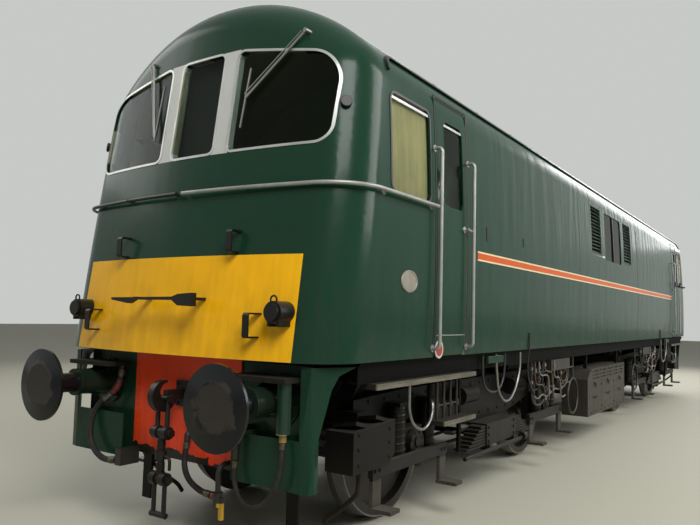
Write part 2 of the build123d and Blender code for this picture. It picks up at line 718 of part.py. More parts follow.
planks = [timber(*place) for place in TIMBER_STEPS]
planks += [mirrored(item) for item in planks]
NODES["timber_steps"] = solids_of(*planks, *[turned(item) for item in planks])

# Buffers


def buffer():
    y = -HEADSTOCK_Y
    reach = BUFFER_REACH
    profile = Polyline(
        (0, 0), (BUFFER_BASE_RADIUS, 0), (BUFFER_BASE_RADIUS, 28), (120, 28), (105, 60), (92, 290),
        (100, 300), (100, 330), (72, 330), (72, 545), (110, 560), (BUFFER_HEAD_RADIUS, 575), (BUFFER_HEAD_RADIUS, 594),
        (BUFFER_FLAT_RADIUS, reach), (0, reach), close=True
    )
    body = revolve(Plane.XZ * make_face(profile), axis=Axis.Z)
    edge = BUFFER_BASE_RADIUS - 12
    rib = make_face(Polyline((90, 20), (edge, 20), (edge, 40), (96, 190), close=True))
    for turn in range(BUFFER_RIBS):
        body += Rot(0, 0, 360 * (turn + 0.5) / BUFFER_RIBS) * extrude(Plane.XZ * rib, amount=7, both=True)
    return Pos(BUFFER_X, y, BUFFER_Z) * Rot(90, 0, 0) * body


buffer_shape = buffer()
NODES["buffers"] = solids_of(
    buffer_shape, mirrored(buffer_shape), turned(buffer_shape), turned(mirrored(buffer_shape))
)

# Draw hook with its screw coupling


def coupling():
    y = -HEADSTOCK_Y - PANEL_THICKNESS - SEAT_GAP
    z = HOOK_Z
    hook = block(-70, 70, y - 20, y, z - 90, z + 90)
    shank = block(-28, 28, y - 170, y, z - 35, z + 35)
    bowl_y = y - 200
    ring = Pos(0, bowl_y, z) * Rot(0, 90, 0) * Cylinder(HOOK_RADIUS, 52)
    ring -= Pos(0, bowl_y + 22, z + 30) * Rot(0, 90, 0) * Cylinder(HOOK_THROAT, 60)
    ring -= block(-40, 40, bowl_y + 20, bowl_y + 130, z + 36, z + 130)
    hook += shank + ring
    link_y = bowl_y + 10
    for x in (-48, 48):
        hook += cylinder_z(SCREW_TOP_Z, z - 18, x, link_y, 17)
        hook += cylinder_x(x - 23, x + 23, link_y, SCREW_TOP_Z, 44)
        hook += cylinder_x(x - 24, x + 24, link_y, SCREW_FOOT_Z, 45)
    hook += cylinder_x(-74, 74, link_y, z - 18, 20)
    hook += cylinder_x(-85, 85, link_y, SCREW_TOP_Z, 33)
    hook += cylinder_z(SCREW_FOOT_Z, SCREW_TOP_Z, 0, link_y, 26)
    hook += cylinder_z(620, 680, 0, link_y, 40)
    hook += tube(((0, link_y, 650), (105, link_y - 12, 640), (105, link_y - 12, 560)), 11, 30)
    hook += cylinder_x(-82, 82, link_y, SCREW_FOOT_Z, 32)
    for x in (-52, 52):
        hook += cylinder_z(SHACKLE_Z, SCREW_FOOT_Z, x, link_y, 16)
    hook += cylinder_x(-76, 76, link_y, SHACKLE_Z, 20)
    return hook


NODES["couplings"] = solids_of(coupling(), turned(coupling()))

# Traction machines standing on the floor between the bulkheads

BOOSTER_LENGTH = 2600
BOOSTER_YS = (-2500, 2500)


def booster(y):
    half = BOOSTER_LENGTH / 2
    return block(-550, 550, y - half, y + half, BODY_BOTTOM, 2650)


NODES["booster_sets"] = solids_of(*[booster(y) for y in BOOSTER_YS])

# Cab furniture: desk below the windscreens and two seats

DESK_TOP = 2200
DESK_Y = FRONT_Y + 215
SEAT_Y = FRONT_Y + 1015


def cab_furniture():
    desk = block(-1150, 1150, DESK_Y, DESK_Y + 370, BODY_BOTTOM, DESK_TOP) & hull(WALL + 20)
    desk -= block(-1200, 1200, DESK_Y + 250, DESK_Y + 450, BODY_BOTTOM - 1, DESK_TOP - 350)
    pieces = [desk]
    for x in (-750, 750):
        seat = cylinder_z(BODY_BOTTOM, 1800, x, SEAT_Y, 60)
        seat += block(x - 230, x + 230, SEAT_Y - 210, SEAT_Y + 220, 1800, 1900)
        seat += block(x - 220, x + 220, SEAT_Y + 200, SEAT_Y + 270, 1850, 2450)
        pieces.append(seat)
    return pieces


furniture = cab_furniture()
NODES["cab_furniture"] = solids_of(*furniture, *[turned(item) for item in furniture])

# Bogies, modelled about their own centre with v along Y

FRAME_X = (930, 1010)
FRAME_TOP = 1060
FRAME_WAIST = 800
FRAME_END = 2350
OUTER_BLOCK_END = 2660
INNER_BLOCK_END = 2520
HORN_HALF = 135
HORN_BOTTOM = 480
HORN_TOP = 810
HEADSTOCK_ROW = (2275, 2350)
TRANSOM_ROW = (360, 460)
SIDE_BEARER_X = 700
SPRING_X = 1076
SPRING_RADIUS = 62
SPRING_SHIFT = 245
SPRING_TOP = 950
LEAF_HALF = 800
LEAVES = 7
LEAF_PITCH = 27
BUCKLE_HALF = 375
CONDUIT_X = 1215
CONDUIT_Z = 412
CONDUIT_VS = (-900, 610)


# Sandboxes: x range, distance of each end from the bogie's middle, bottom, and top at each end
SANDBOX_X = (1020, 1245)
SANDBOX_ENDS = (2160, 2690)
SANDBOX_BOTTOM = 600
SANDBOX_TOPS = (905, 870)
LID_HALF = 95
LID_SHARES = (0.27, 0.73)
GUARD_X = 752.5
GUARD_HALF = 50
GUARD_BOTTOM = 130
BRAKE_CYLINDER_VS = (-620, 620)
BRAKE_CYLINDER_X = 1098
BRAKE_CYLINDER_Z = 935


def sandbox():
    """A hopper outside the frame's outer end, with two tilted lids and a life guard before the wheel."""
    near, far = SANDBOX_ENDS
    near_top, far_top = SANDBOX_TOPS
    foot = SANDBOX_BOTTOM
    outline = Polyline(
        (-near, foot + 70), (-near - 90, foot), (-far, foot), (-far, far_top), (-near, near_top), close=True
    )
    hopper = extrude(Pos(SANDBOX_X[0], 0, 0) * (Plane.YZ * make_face(outline)), amount=SANDBOX_X[1] - SANDBOX_X[0])
    middle_x = (SANDBOX_X[0] + SANDBOX_X[1]) / 2
    for share in LID_SHARES:
        top = near_top + (far_top - near_top) * share
        lid_y = -near - (far - near) * share
        hopper += Pos(middle_x, lid_y, top + 8) * Rot(-14, -10, 0) * Box(2 * LID_HALF, 190, 26)
    hopper += block(880, SANDBOX_X[0] + 5, -near - 250, -near - 145, 720, 860)
    hopper += block(GUARD_X - GUARD_HALF, GUARD_X + GUARD_HALF, -far, 20 - far, GUARD_BOTTOM, 760)
    return hopper + block(GUARD_X - GUARD_HALF, SANDBOX_X[0] + 5, -far, 70 - far, 690, 760)


def bogie_side():
    end = FRAME_END
    axle = WHEELBASE / 2
    points = [(-end, 900), (-axle - 330, 800)]
    points += [(-axle - 300, HORN_BOTTOM), (-axle + 300, HORN_BOTTOM), (-axle + 380, 760), (-500, 640)]
    points += [(500, 640), (axle - 380, 760), (axle - 300, HORN_BOTTOM), (axle + 300, HORN_BOTTOM)]
    points += [(axle + 330, 800), (end, 900), (end, 1030), (axle, FRAME_TOP), (-axle, FRAME_TOP), (-end, 1030)]
    plate = extrude(Pos(FRAME_X[0], 0, 0) * (Plane.YZ * make_face(Polyline(*points, close=True))), amount=80)
    for place in (-axle, axle):
        plate -= block(900, 1100, place - HORN_HALF, place + HORN_HALF, HORN_BOTTOM - 10, HORN_TOP)
    return plate


def bogie_frame():
    side_plate = bogie_side()
    frame = side_plate + mirrored(side_plate)
    for sign in (-1, 1):
        v0, v1 = sorted((sign * HEADSTOCK_ROW[0], sign * HEADSTOCK_ROW[1]))
        frame += block(-FRAME_X[0], FRAME_X[0], v0, v1, 900, 1030)
        v0, v1 = sorted((sign * TRANSOM_ROW[0], sign * TRANSOM_ROW[1]))
        frame += block(-FRAME_X[0], FRAME_X[0], v0, v1, 760, 1040)
        for x in (-1, 1):
            x0, x1 = sorted((x * 880, x * 1090))
            frame += block(x0, x1, *sorted((sign * 2300, sign * 2420)), 700, 960)
            x0, x1 = sorted((x * FRAME_X[1], x * (SPRING_X + SPRING_RADIUS)))
            for shift in (-SPRING_SHIFT, SPRING_SHIFT):
                v = sign * WHEELBASE / 2 + shift
                frame += block(x0, x1, v - 60, v + 60, SPRING_TOP + SEAT_GAP, SPRING_TOP + 30)
    bolster = block(-900, 900, -300, 300, 900, 1100)
    for x in (-SIDE_BEARER_X, SIDE_BEARER_X):
        bolster += block(x - 130, x + 130, -150, 150, 1100, FLOOR_BOTTOM - SOLEBAR_DEPTH - SEAT_GAP)
    bolster += cylinder_z(1090, BOLSTER_TOP, 0, 0, 280)
    bolster -= cylinder_z(890, BOLSTER_TOP + 1, 0, 0, PIVOT_RADIUS + PIN_CLEARANCE)
    frame += bolster
    frame += block(-FRAME_X[0], FRAME_X[0], -361, 361, 940, 1000) - cylinder_z(900, 1100, 0, 0, PIVOT_RADIUS + 5)
    frame += sandbox()
    frame += mirrored(sandbox())
    for v in BRAKE_CYLINDER_VS:
        cylinder = cylinder_y(v - 150, v + 150, BRAKE_CYLINDER_X, BRAKE_CYLINDER_Z, 76)
        cylinder += cylinder_y(v - 175, v - 140, BRAKE_CYLINDER_X, BRAKE_CYLINDER_Z, 84)
        z = BRAKE_CYLINDER_Z
        cylinder += block(FRAME_X[1] - 5, BRAKE_CYLINDER_X, v - 90, v + 90, z - 30, z + 30)
        frame += cylinder
        frame += mirrored(cylinder)
    return frame


def axlebox(place):
    half = HORN_HALF - SEAT_GAP
    box = block(905, 1090, place - half, place + half, AXLE_Z - 130, AXLE_Z + 130)
    box += cylinder_x(1090, 1125, place, AXLE_Z, 110)
    box += block(FRAME_X[1] + 3, SPRING_X + 49, place - 320, place + 320, AXLE_Z - 130, AXLE_Z - 80)
    for shift in (-SPRING_SHIFT, SPRING_SHIFT):
        box += cylinder_z(AXLE_Z - 80, SPRING_TOP, SPRING_X, place + shift, SPRING_RADIUS)
    box -= cylinder_x(900, JOURNAL_END_X + 5, place, AXLE_Z, JOURNAL_RADIUS + PIN_CLEARANCE)
    return box


def bogie_boxes():
    pieces = []
    for place in (-WHEELBASE / 2, WHEELBASE / 2):
        pieces.append(axlebox(place))
    spring = block(FRAME_X[1] + SEAT_GAP, 1200, -BUCKLE_HALF, BUCKLE_HALF, 450, 650)
    for index in range(LEAVES):
        reach = LEAF_HALF - index * 52
        spring += block(1060, 1190, -reach, reach, 455 + index * LEAF_PITCH, 474 + index * LEAF_PITCH)
    for v in (-BUCKLE_HALF + 60, BUCKLE_HALF - 60):
        spring += block(1120, CONDUIT_X, v - 25, v + 25, CONDUIT_Z - 8, 460)
    spring += cylinder_y(*CONDUIT_VS, CONDUIT_X, CONDUIT_Z, 18)
    spring += cylinder_y(CONDUIT_VS[1] - 90, CONDUIT_VS[1], CONDUIT_X, CONDUIT_Z + 12, 40)
    pieces.append(spring)
    pieces += [mirrored(item) for item in pieces]
    return solids_of(*pieces)


def motor(place):
    body = cylinder_x(-470, 470, place, 720, 330)
    body += block(-430, 430, place - 300, place + 300, 720, 1040)
    body &= block(-470, 470, place - 330, place + 330, 390, 1045)
    inward = 1 if place < 0 else -1
    v0, v1 = sorted((place + inward * 300, -inward * (TRANSOM_ROW[1] + SEAT_GAP)))
    return body + block(-150, 150, v0, v1, 800, 920)


def bogie_motors():
    return solids_of(motor(-1010), motor(1010))


BRAKE_GAP = 10


def brake_unit(place, sign):
    """One block on its hanger; sign says which side of the wheel it is on."""
    inner = TREAD_RADIUS + BRAKE_GAP
    band = cylinder_x(725, 790, place, AXLE_Z, inner + 55) - cylinder_x(700, 800, place, AXLE_Z, inner)
    v0, v1 = sorted((place + sign * 500, place + sign * 700))
    shoe = band & block(700, 800, v0, v1, AXLE_Z - 180, AXLE_Z + 180)
    v0, v1 = sorted((place + sign * (inner + 20), place + sign * (inner + 60)))
    hanger = block(730, 765, v0, v1, AXLE_Z - 30, 980)
    arm = block(730, FRAME_X[0] - SEAT_GAP, v0, v1, 940, 980)
    return shoe + hanger + arm


def bogie_brakes():
    pieces = []
    for place in (-WHEELBASE / 2, WHEELBASE / 2):
        inward = 1 if place < 0 else -1
        pieces.append(brake_unit(place, inward))
    pieces += [mirrored(item) for item in pieces]
    return solids_of(*pieces)


SHOE_SHIFTS = (-685, 340)
SHOE_BEAM_X = (1145, 1185)
SHOE_BEAM_Z = (510, 600)


def shoe_set(place):
    low, high = SHOE_SHIFTS
    beam = block(*SHOE_BEAM_X, place + low - 65, place + high + 65, *SHOE_BEAM_Z)
    beam += block(1125 + SEAT_GAP, SHOE_BEAM_X[0], place - 60, place + 60, *SHOE_BEAM_Z)
    for shift in SHOE_SHIFTS:
        v = place + shift
        beam += block(1150, 1180, v - 55, v + 55, 300, 560)
        beam += block(1150, 1330, v - 65, v + 65, 285, 312)
    return beam


def bogie_shoe_gear():
    pieces = [shoe_set(-WHEELBASE / 2), shoe_set(WHEELBASE / 2)]
    pieces += [mirrored(item) for item in pieces]
    return solids_of(*pieces)


BOGIE_PARTS = {
    "frame": bogie_frame(),
    "boxes": bogie_boxes(),
    "motors": bogie_motors(),
    "brakes": bogie_brakes(),
    "shoe_gear": bogie_shoe_gear(),
}
for label, shape in BOGIE_PARTS.items():
    placed = [Pos(0, -BOGIE_Y, 0) * solid for solid in shape.solids()]
    NODES["bogie_1_" + label] = solids_of(*placed)
    NODES["bogie_2_" + label] = solids_of(*[turned(solid) for solid in placed])

# Wheelsets: two tyred disc wheels pressed on an axle


def wheelset():
    inner = BACK_TO_BACK / 2
    outer = inner + TYRE_WIDTH
    flange = AXLE_Z
    profile = Polyline(
        (0, 0), (AXLE_RADIUS, 0), (AXLE_RADIUS, inner), (150, inner), (150, inner + 20), (520, inner + 45),
        (530, inner + 5), (530, inner), (flange - 12, inner), (flange, inner + 12), (flange - 4, inner + 22),
        (TREAD_RADIUS + 2, inner + 36), (TREAD_RADIUS - 3, outer), (530, outer), (520, inner + 70),
        (160, inner + 60), (150, outer + 5), (AXLE_RADIUS, outer + 5), (AXLE_RADIUS, 880),
        (JOURNAL_RADIUS, 885), (JOURNAL_RADIUS, JOURNAL_END_X), (0, JOURNAL_END_X), close=True,
    )
    half = revolve(Plane.XZ * make_face(profile), axis=Axis.Z)
    half = Rot(0, 90, 0) * half
    return half + mirrored(half)


axle_set = wheelset()
WHEELSET_YS = tuple(centre + half for centre in (-BOGIE_Y, BOGIE_Y) for half in (-WHEELBASE / 2, WHEELBASE / 2))
for number, y in enumerate(WHEELSET_YS, 1):
    NODES[f"wheelset_{number}"] = Pos(0, y, AXLE_Z) * axle_set

# Pantograph: base frame in the roof well and an equal armed diamond that folds into it

PANTO_Z = 3720
PANTO_HALF_BASE = 150
PANTO_ARM = 1450
PANTO_REST = 3
PANTO_SPRING_X = 200
LOWER_X = 455
UPPER_X = 380
HEAD_X = 345


def panto_base():
    frame = None
    for x in (-520, 520):
        rail = block(x - 25, x + 25, -600, 600, PANTO_Z - 60, PANTO_Z - 35)
        frame = rail if frame is None else frame + rail
        for y in (-PANTO_HALF_BASE, PANTO_HALF_BASE):
            ear = block(x - 15, x + 15, y - 25, y + 25, PANTO_Z - 40, PANTO_Z + 25)
            frame += ear - cylinder_x(x - 20, x + 20, y, PANTO_Z, 12 + PIN_CLEARANCE)
        for y in (-500, 500):
            frame += Pos(x, y, WELL_FLOOR_Z + SEAT_GAP) * insulator()
    for y in (-560, 560):
        frame += block(-520, 520, y - 25, y + 25, PANTO_Z - 60, PANTO_Z - 35)
    for x in (-PANTO_SPRING_X, PANTO_SPRING_X):
        frame += cylinder_y(-540, 540, x, PANTO_Z - 60, 12)
        frame += cylinder_y(-400, 400, x, PANTO_Z - 60, 24)
    return frame


def insulator():
    """A ribbed porcelain post, from its foot up to the base frame."""
    height = PANTO_Z - 60 - WELL_FLOOR_Z - SEAT_GAP
    step = height / 8
    outline = [(0, 0), (52, 0), (52, step)]
    for index in range(3):
        foot = step * (1.4 + 2 * index)
        outline += [(30, foot), (50, foot + 0.5 * step), (50, foot + 0.8 * step), (30, foot + 1.2 * step)]
    outline += [(30, height - 8), (44, height - 8), (44, height + 3), (0, height + 3)]
    return revolve(Plane.XZ * make_face(Polyline(*outline, close=True)), axis=Axis.Z)


def arm_end(sign, angle, length=PANTO_ARM):
    """Where the elbow of the arm that leans to one side lies."""
    y = sign * (PANTO_HALF_BASE + length * cos(radians(angle)))
    z = PANTO_Z + length * sin(radians(angle))
    return (y, z)


def lower_arm(sign):
    y0 = sign * PANTO_HALF_BASE
    y1, z1 = arm_end(sign, PANTO_REST)
    arm = cylinder_x(-495, 495, y0, PANTO_Z, 24)
    arm += cylinder_x(-540, 540, y0, PANTO_Z, 12)
    for x in (-LOWER_X, LOWER_X):
        arm += tube(((x, y0, PANTO_Z), (x, y1, z1)), 20, 0)
        arm += cylinder_x(x - 15, x + 15, y1, z1, 30)
        arm -= cylinder_x(x - 30, x + 30, y1, z1, 10 + PIN_CLEARANCE)
    for share in (0.35, 0.78):
        arm += cylinder_x(-LOWER_X, LOWER_X, y0 + (y1 - y0) * share, PANTO_Z + (z1 - PANTO_Z) * share, 11)
    return arm


def upper_arm(sign):
    y0, z0 = arm_end(sign, PANTO_REST)
    y1 = sign * PANTO_HALF_BASE
    z1 = 2 * z0 - PANTO_Z

    def along_arm(share):
        return (y0 + (y1 - y0) * share, z0 + (z1 - z0) * share)

    arm = cylinder_x(-430, 430, y0, z0, 16)
    arm += cylinder_x(-475, 475, y0, z0, 10)
    for x in (-UPPER_X, UPPER_X):
        arm += tube(((x, y0, z0), (x * 0.78, y1, z1)), 12, 0)
        arm += tube(((x * 0.97, *along_arm(0.15)), (-x * 0.82, *along_arm(0.85))), 6 if x < 0 else 7, 0)
    arm += cylinder_x(-320, 320, y1, z1, 14)
    arm += cylinder_x(-360, 360, y1, z1, 8)
    return arm


def panto_head():
    z = 2 * arm_end(1, PANTO_REST)[1] - PANTO_Z
    head = None
    for x in (-HEAD_X, HEAD_X):
        plate = block(x - 6, x + 6, -190, 190, z - 25, z + 25)
        for y in (-PANTO_HALF_BASE, PANTO_HALF_BASE):
            plate += block(x - 6, x + 6, y - 18, y + 18, z, z + 80)
            clearance = PIN_CLEARANCE if y < 0 else 5
            plate -= cylinder_x(x - 10, x + 10, y, z, 8 + clearance)
        head = plate if head is None else head + plate
    for y in (-PANTO_HALF_BASE, PANTO_HALF_BASE):
        points = ((-820, y, z - 60), (-620, y, z + 90), (620, y, z + 90), (820, y, z - 60))
        head += tube(points, 13, 120)
        head += block(-520, 520, y - 20, y + 20, z + 95, z + 112)
    return head


NODES["panto_base"] = panto_base()
NODES["panto_lower_1"] = lower_arm(-1)
NODES["panto_lower_2"] = lower_arm(1)
NODES["panto_upper_1"] = upper_arm(-1)
NODES["panto_upper_2"] = upper_arm(1)
NODES["panto_head"] = panto_head()

# Pipes fixed to the body: stubs for the hoses, and a rack beside each bogie

HOSE_PLANE_Y = -HEADSTOCK_Y - 160
LEFT_PIPE_X = -650
LEFT_PIPE_Y = -HEADSTOCK_Y - 70
LEFT_HOSE_RADIUS = 22
CENTRE_HOSE_RADIUS = 20
RIGHT_HOSE_RADIUS = 15
COCK_X = 500
RACK_X = 1255
RACK_PIPE_RADIUS = 14
RACK_RUN_RADIUS = 11
# Rack pipes: place along the body, foot and the radius of the pot at the foot
RACK_PIPES = (
    (-3480, 900, 26), (-3350, 760, 26), (-3190, 820, 30), (-3060, 880, 26), (-2900, 760, 32), (-2700, 820, 26),
    (-2520, 930, 24), (-2330, 1015, 24),
)
# Valve bodies on the rack: place along the body and height
RACK_VALVES = ((-3350, 1000), (-3120, 880), (-2900, 980), (-2620, 880), (-2430, 1060))
RACK_CASE_YS = (-2960, -2250)
STEP_PIPE_X = STEP_HANGER_X[1] + 22
STEP_PIPE_YS = tuple(DOOR_REAR_Y + shift for shift in (-290, -170, -50, 70))
RING_Y = -1880
RING_Z = 700
RING_RADIUS = 215
# Level pipes of the rack: height and where they end
RACK_RUNS = ((880, RING_Y - sqrt(RING_RADIUS**2 - (880 - RING_Z) ** 2)), (1060, RING_Y))


def left_stub():
    wing_y = -HEADSTOCK_Y - COWL_THICKNESS - 2 * SEAT_GAP
    nut = cylinder_z(1188, CORNER_PLANK_BOTTOM - SEAT_GAP, LEFT_PIPE_X, LEFT_PIPE_Y, LEFT_HOSE_RADIUS + 4)
    return nut + block(LEFT_PIPE_X - 20, LEFT_PIPE_X + 20, LEFT_PIPE_Y, wing_y, 1192, 1206)


def left_rest():
    return block(-530.4, -465, -HEADSTOCK_Y - 190, -HEADSTOCK_Y - PANEL_THICKNESS - SEAT_GAP, 500, 620)


def centre_stub():
    panel_y = -HEADSTOCK_Y - PANEL_THICKNESS - SEAT_GAP
    y = -HEADSTOCK_Y - 100
    return tube(((130, panel_y, 805), (130, y, 805), (130, y, 744)), CENTRE_HOSE_RADIUS + 3, 36)


def cock():
    panel_y = -HEADSTOCK_Y - PANEL_THICKNESS - SEAT_GAP
    pipe = tube(((COCK_X, panel_y, 640), (COCK_X, HOSE_PLANE_Y, 640), (COCK_X, HOSE_PLANE_Y, 420)), 18, 60)
    pipe += cylinder_z(380, 470, COCK_X, HOSE_PLANE_Y, 32)
    pipe += cylinder_x(COCK_X - 48.5, COCK_X, HOSE_PLANE_Y, 440, 26)
    pipe += block(COCK_X + 20, COCK_X + 48, HOSE_PLANE_Y - 12, HOSE_PLANE_Y + 12, 300, 440)
    return pipe


def right_stub():
    x = 1030
    pot = cylinder_z(900, CORNER_PLANK_BOTTOM - SEAT_GAP, x, HOSE_PLANE_Y, 45)
    pot += cylinder_z(852.5, 905, x, HOSE_PLANE_Y, RIGHT_HOSE_RADIUS + 8)
    return pot


def right_return():
    wing_y = -HEADSTOCK_Y - COWL_THICKNESS - 2 * SEAT_GAP
    x = 650
    y = HOSE_PLANE_Y - 2
    return tube(((x, y, 702), (x, y, 890), (x, wing_y, 890)), RIGHT_HOSE_RADIUS + 4, 50)


def step_pipes():
    """Upright pipes between the upper and the lower step, with one level run."""
    low = LOWER_STEP_TOP + SEAT_GAP
    high = UNDER_SOLEBAR - UPPER_STEP_THICKNESS - SEAT_GAP
    unit = cylinder_y(STEP_PIPE_YS[0], STEP_PIPE_YS[-1], STEP_PIPE_X, 935, 9)
    for y in STEP_PIPE_YS:
        unit += cylinder_z(low, high, STEP_PIPE_X, y, 12)
        unit += cylinder_z(910, 960, STEP_PIPE_X, y, 20)
    return unit


def pipe_rack():
    top = UNDER_SOLEBAR
    rack = block(RACK_X - 12, RACK_X + 72, RACK_CASE_YS[0], RACK_CASE_YS[1], 1065, top)
    for y, foot, pot_radius in RACK_PIPES:
        pipe = cylinder_z(foot, top, RACK_X, y, RACK_PIPE_RADIUS)
        pipe += cylinder_z(foot - 20, foot + 60, RACK_X, y, pot_radius)
        rack += pipe
    for z, end in RACK_RUNS:
        rack += cylinder_y(RACK_PIPES[0][0], end, RACK_X, z, RACK_RUN_RADIUS)
    for y, z in RACK_VALVES:
        rack += cylinder_x(RACK_X - 5, RACK_X + 62, y, z, 34)
        rack += cylinder_x(RACK_X + 55, RACK_X + 74, y, z, 18)
    rack += Pos(RACK_X, RING_Y, RING_Z) * Rot(0, 90, 0) * Torus(RING_RADIUS, RACK_PIPE_RADIUS)
    rack += cylinder_z(RING_Z + RING_RADIUS, top, RACK_X, RING_Y, RACK_PIPE_RADIUS)
    return rack


stubs = [left_stub(), left_rest(), centre_stub(), cock(), right_stub(), right_return()]
racks = [pipe_rack(), step_pipes()]
racks += [mirrored(item) for item in racks]
NODES["pipes"] = solids_of(*stubs, *[turned(item) for item in stubs], *racks, *[turned(item) for item in racks])

# Free hoses at each end, as straight runs joined by arcs

# Each route runs from its stub to the fitting that holds its far end: x, distance out from the headstock, and z
HOSES = {
    "left": (LEFT_HOSE_RADIUS, (
        (LEFT_PIPE_X, 70, 1184.7), (-655, 78, 1085), (-706, 97, 1000), (-812, 122, 938), (-880, 148, 829),
        (-880, 170, 701), (-815, 180, 590), (-704, 180, 525), (-600, 172, 520), (-535.3, 164, 532),
    )),
    "centre": (CENTRE_HOSE_RADIUS, (
        (130, 100, 739.7), (122, 112, 655), (145, 132, 570), (205, 148, 505), (290, 156, 465), (370, 160, 445),
        (449.7, 160, 440),
    )),
    "right": (RIGHT_HOSE_RADIUS, (
        (1030, 160, 849.7), (1036, 172, 750), (1030, 184, 640), (985, 192, 535), (900, 194, 455),
        (795, 192, 430), (705, 186, 475), (655, 175, 560), (645, 166, 640), (650, 162, 699.7),
    )),
}


def hose_radii(points):
    radii = []
    for before, here, after in zip(points, points[1:], points[2:]):
        first = Vector(*here) - Vector(*before)
        second = Vector(*after) - Vector(*here)
        turn = radians(first.get_angle(second))
        radii.append(0.45 * min(first.length, second.length) / tan(turn / 2))
    return radii


for side_name, (radius, route) in HOSES.items():
    points = [(x, -HEADSTOCK_Y - out, z) for x, out, z in route]
    hose = tube(points, radius, hose_radii(points))
    NODES[f"hose_1_{side_name}"] = hose
    NODES[f"hose_2_{side_name}"] = turned(hose)

os.makedirs("parts", exist_ok=True)
for name, shape in NODES.items():
    export_step(shape, f"parts/{name}.step")
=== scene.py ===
import json
import bmesh
import bpy
from math import cos, pi, radians, sin
from mathutils import Matrix, Vector
from mathutils.bvhtree import BVHTree

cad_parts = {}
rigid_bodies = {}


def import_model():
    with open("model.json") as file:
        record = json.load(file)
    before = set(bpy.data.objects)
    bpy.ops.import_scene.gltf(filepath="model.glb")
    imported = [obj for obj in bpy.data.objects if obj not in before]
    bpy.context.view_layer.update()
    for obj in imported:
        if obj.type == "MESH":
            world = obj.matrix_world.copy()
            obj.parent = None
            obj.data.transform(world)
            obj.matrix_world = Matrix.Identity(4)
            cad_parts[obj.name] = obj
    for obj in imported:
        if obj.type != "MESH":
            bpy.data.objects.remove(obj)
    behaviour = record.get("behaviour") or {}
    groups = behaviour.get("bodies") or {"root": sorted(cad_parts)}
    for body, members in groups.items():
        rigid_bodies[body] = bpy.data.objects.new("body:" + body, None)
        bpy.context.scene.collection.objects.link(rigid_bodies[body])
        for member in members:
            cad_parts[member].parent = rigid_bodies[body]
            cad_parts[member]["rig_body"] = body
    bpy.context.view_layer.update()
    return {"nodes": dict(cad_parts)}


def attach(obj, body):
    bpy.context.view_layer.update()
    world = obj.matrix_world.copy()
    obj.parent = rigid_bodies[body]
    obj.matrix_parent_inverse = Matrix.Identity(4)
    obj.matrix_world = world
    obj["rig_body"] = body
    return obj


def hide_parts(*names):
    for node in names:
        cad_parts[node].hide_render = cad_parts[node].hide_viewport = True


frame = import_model()
nodes = frame["nodes"]

# Camera: stands beside the number 1 end at eye height, close in, so that the
# front looms and the long side runs away to the right.

CAMERA_PLACE = Vector((3.658, -10.439, 1.634))
CAMERA_YAW = radians(34.268)
CAMERA_PITCH = radians(4.543)
CAMERA_ROLL = radians(1.411)
CAMERA_LENS = 34.11
CAMERA_SENSOR = 36
CAMERA_REACH = 200


def new_object(name, data):
    made = bpy.data.objects.new(name, data)
    bpy.context.scene.collection.objects.link(made)
    return made


look = Vector((-sin(CAMERA_YAW) * cos(CAMERA_PITCH), cos(CAMERA_YAW) * cos(CAMERA_PITCH), sin(CAMERA_PITCH)))
level_right = Vector((cos(CAMERA_YAW), sin(CAMERA_YAW), 0))
level_up = level_right.cross(look)
camera_right = level_right * cos(CAMERA_ROLL) + level_up * sin(CAMERA_ROLL)
camera_up = level_up * cos(CAMERA_ROLL) - level_right * sin(CAMERA_ROLL)
camera_data = bpy.data.cameras.new("camera")
camera_data.lens = CAMERA_LENS
camera_data.sensor_width = CAMERA_SENSOR
camera_data.clip_end = CAMERA_REACH
camera = new_object("camera", camera_data)
turn = Matrix((camera_right, camera_up, -look)).transposed()
camera.matrix_world = Matrix.Translation(CAMERA_PLACE) @ turn.to_4x4()
bpy.context.scene.camera = camera
bpy.context.scene.view_settings.view_transform = "Standard"

# Studio: a pale level floor under the flanges, soft lamps overhead and to both
# sides, and an even pale backdrop that glass and polished paint also show.

FLOOR_SIZE = 120
FLOOR_COLOUR = (0.51, 0.50, 0.40, 1)
FLOOR_ROUGHNESS = 0.7
BACKDROP_COLOUR = (0.60, 0.615, 0.60, 1)
BACKDROP_STRENGTH = 0.95
AMBIENT_STRENGTH = 0.22
# Soft lamps: place, the point each faces, size in metres and power in watts
LAMPS = (
    ((7.5, -12.0, 9.0), (0, -6, 2), 5.0, 1030),
    ((11.0, 2.0, 8.0), (0, 1, 2), 8.0, 1300),
    ((-9.0, -9.0, 8.0), (0, -5, 2), 6.0, 260),
    ((-10.0, 6.0, 8.0), (0, 3, 2), 9.0, 700),
    ((0.0, 14.0, 7.0), (0, 6, 2), 6.0, 500),
)


def shader_node(tree, kind, inputs=None, **settings):
    made = tree.nodes.new("ShaderNode" + kind)
    for name, value in settings.items():
        setattr(made, name, value)
    for socket, value in (inputs or {}).items():
        if isinstance(value, bpy.types.NodeSocket):
            tree.links.new(value, made.inputs[socket])
        else:
            made.inputs[socket].default_value = value
    return made


def math_node(tree, operation, *values, clamp=False):
    """The result of one sum, whose values are numbers or sockets."""
    made = shader_node(tree, "Math", dict(enumerate(values)), operation=operation, use_clamp=clamp)
    return made.outputs[0]


def new_material(name):
    material = bpy.data.materials.new(name)
    material.use_nodes = True
    return material, material.node_tree, material.node_tree.nodes["Principled BSDF"]


def set_values(shader, values):
    """Plain values on a shader's own sockets."""
    for socket, value in values.items():
        shader.inputs[socket].default_value = value


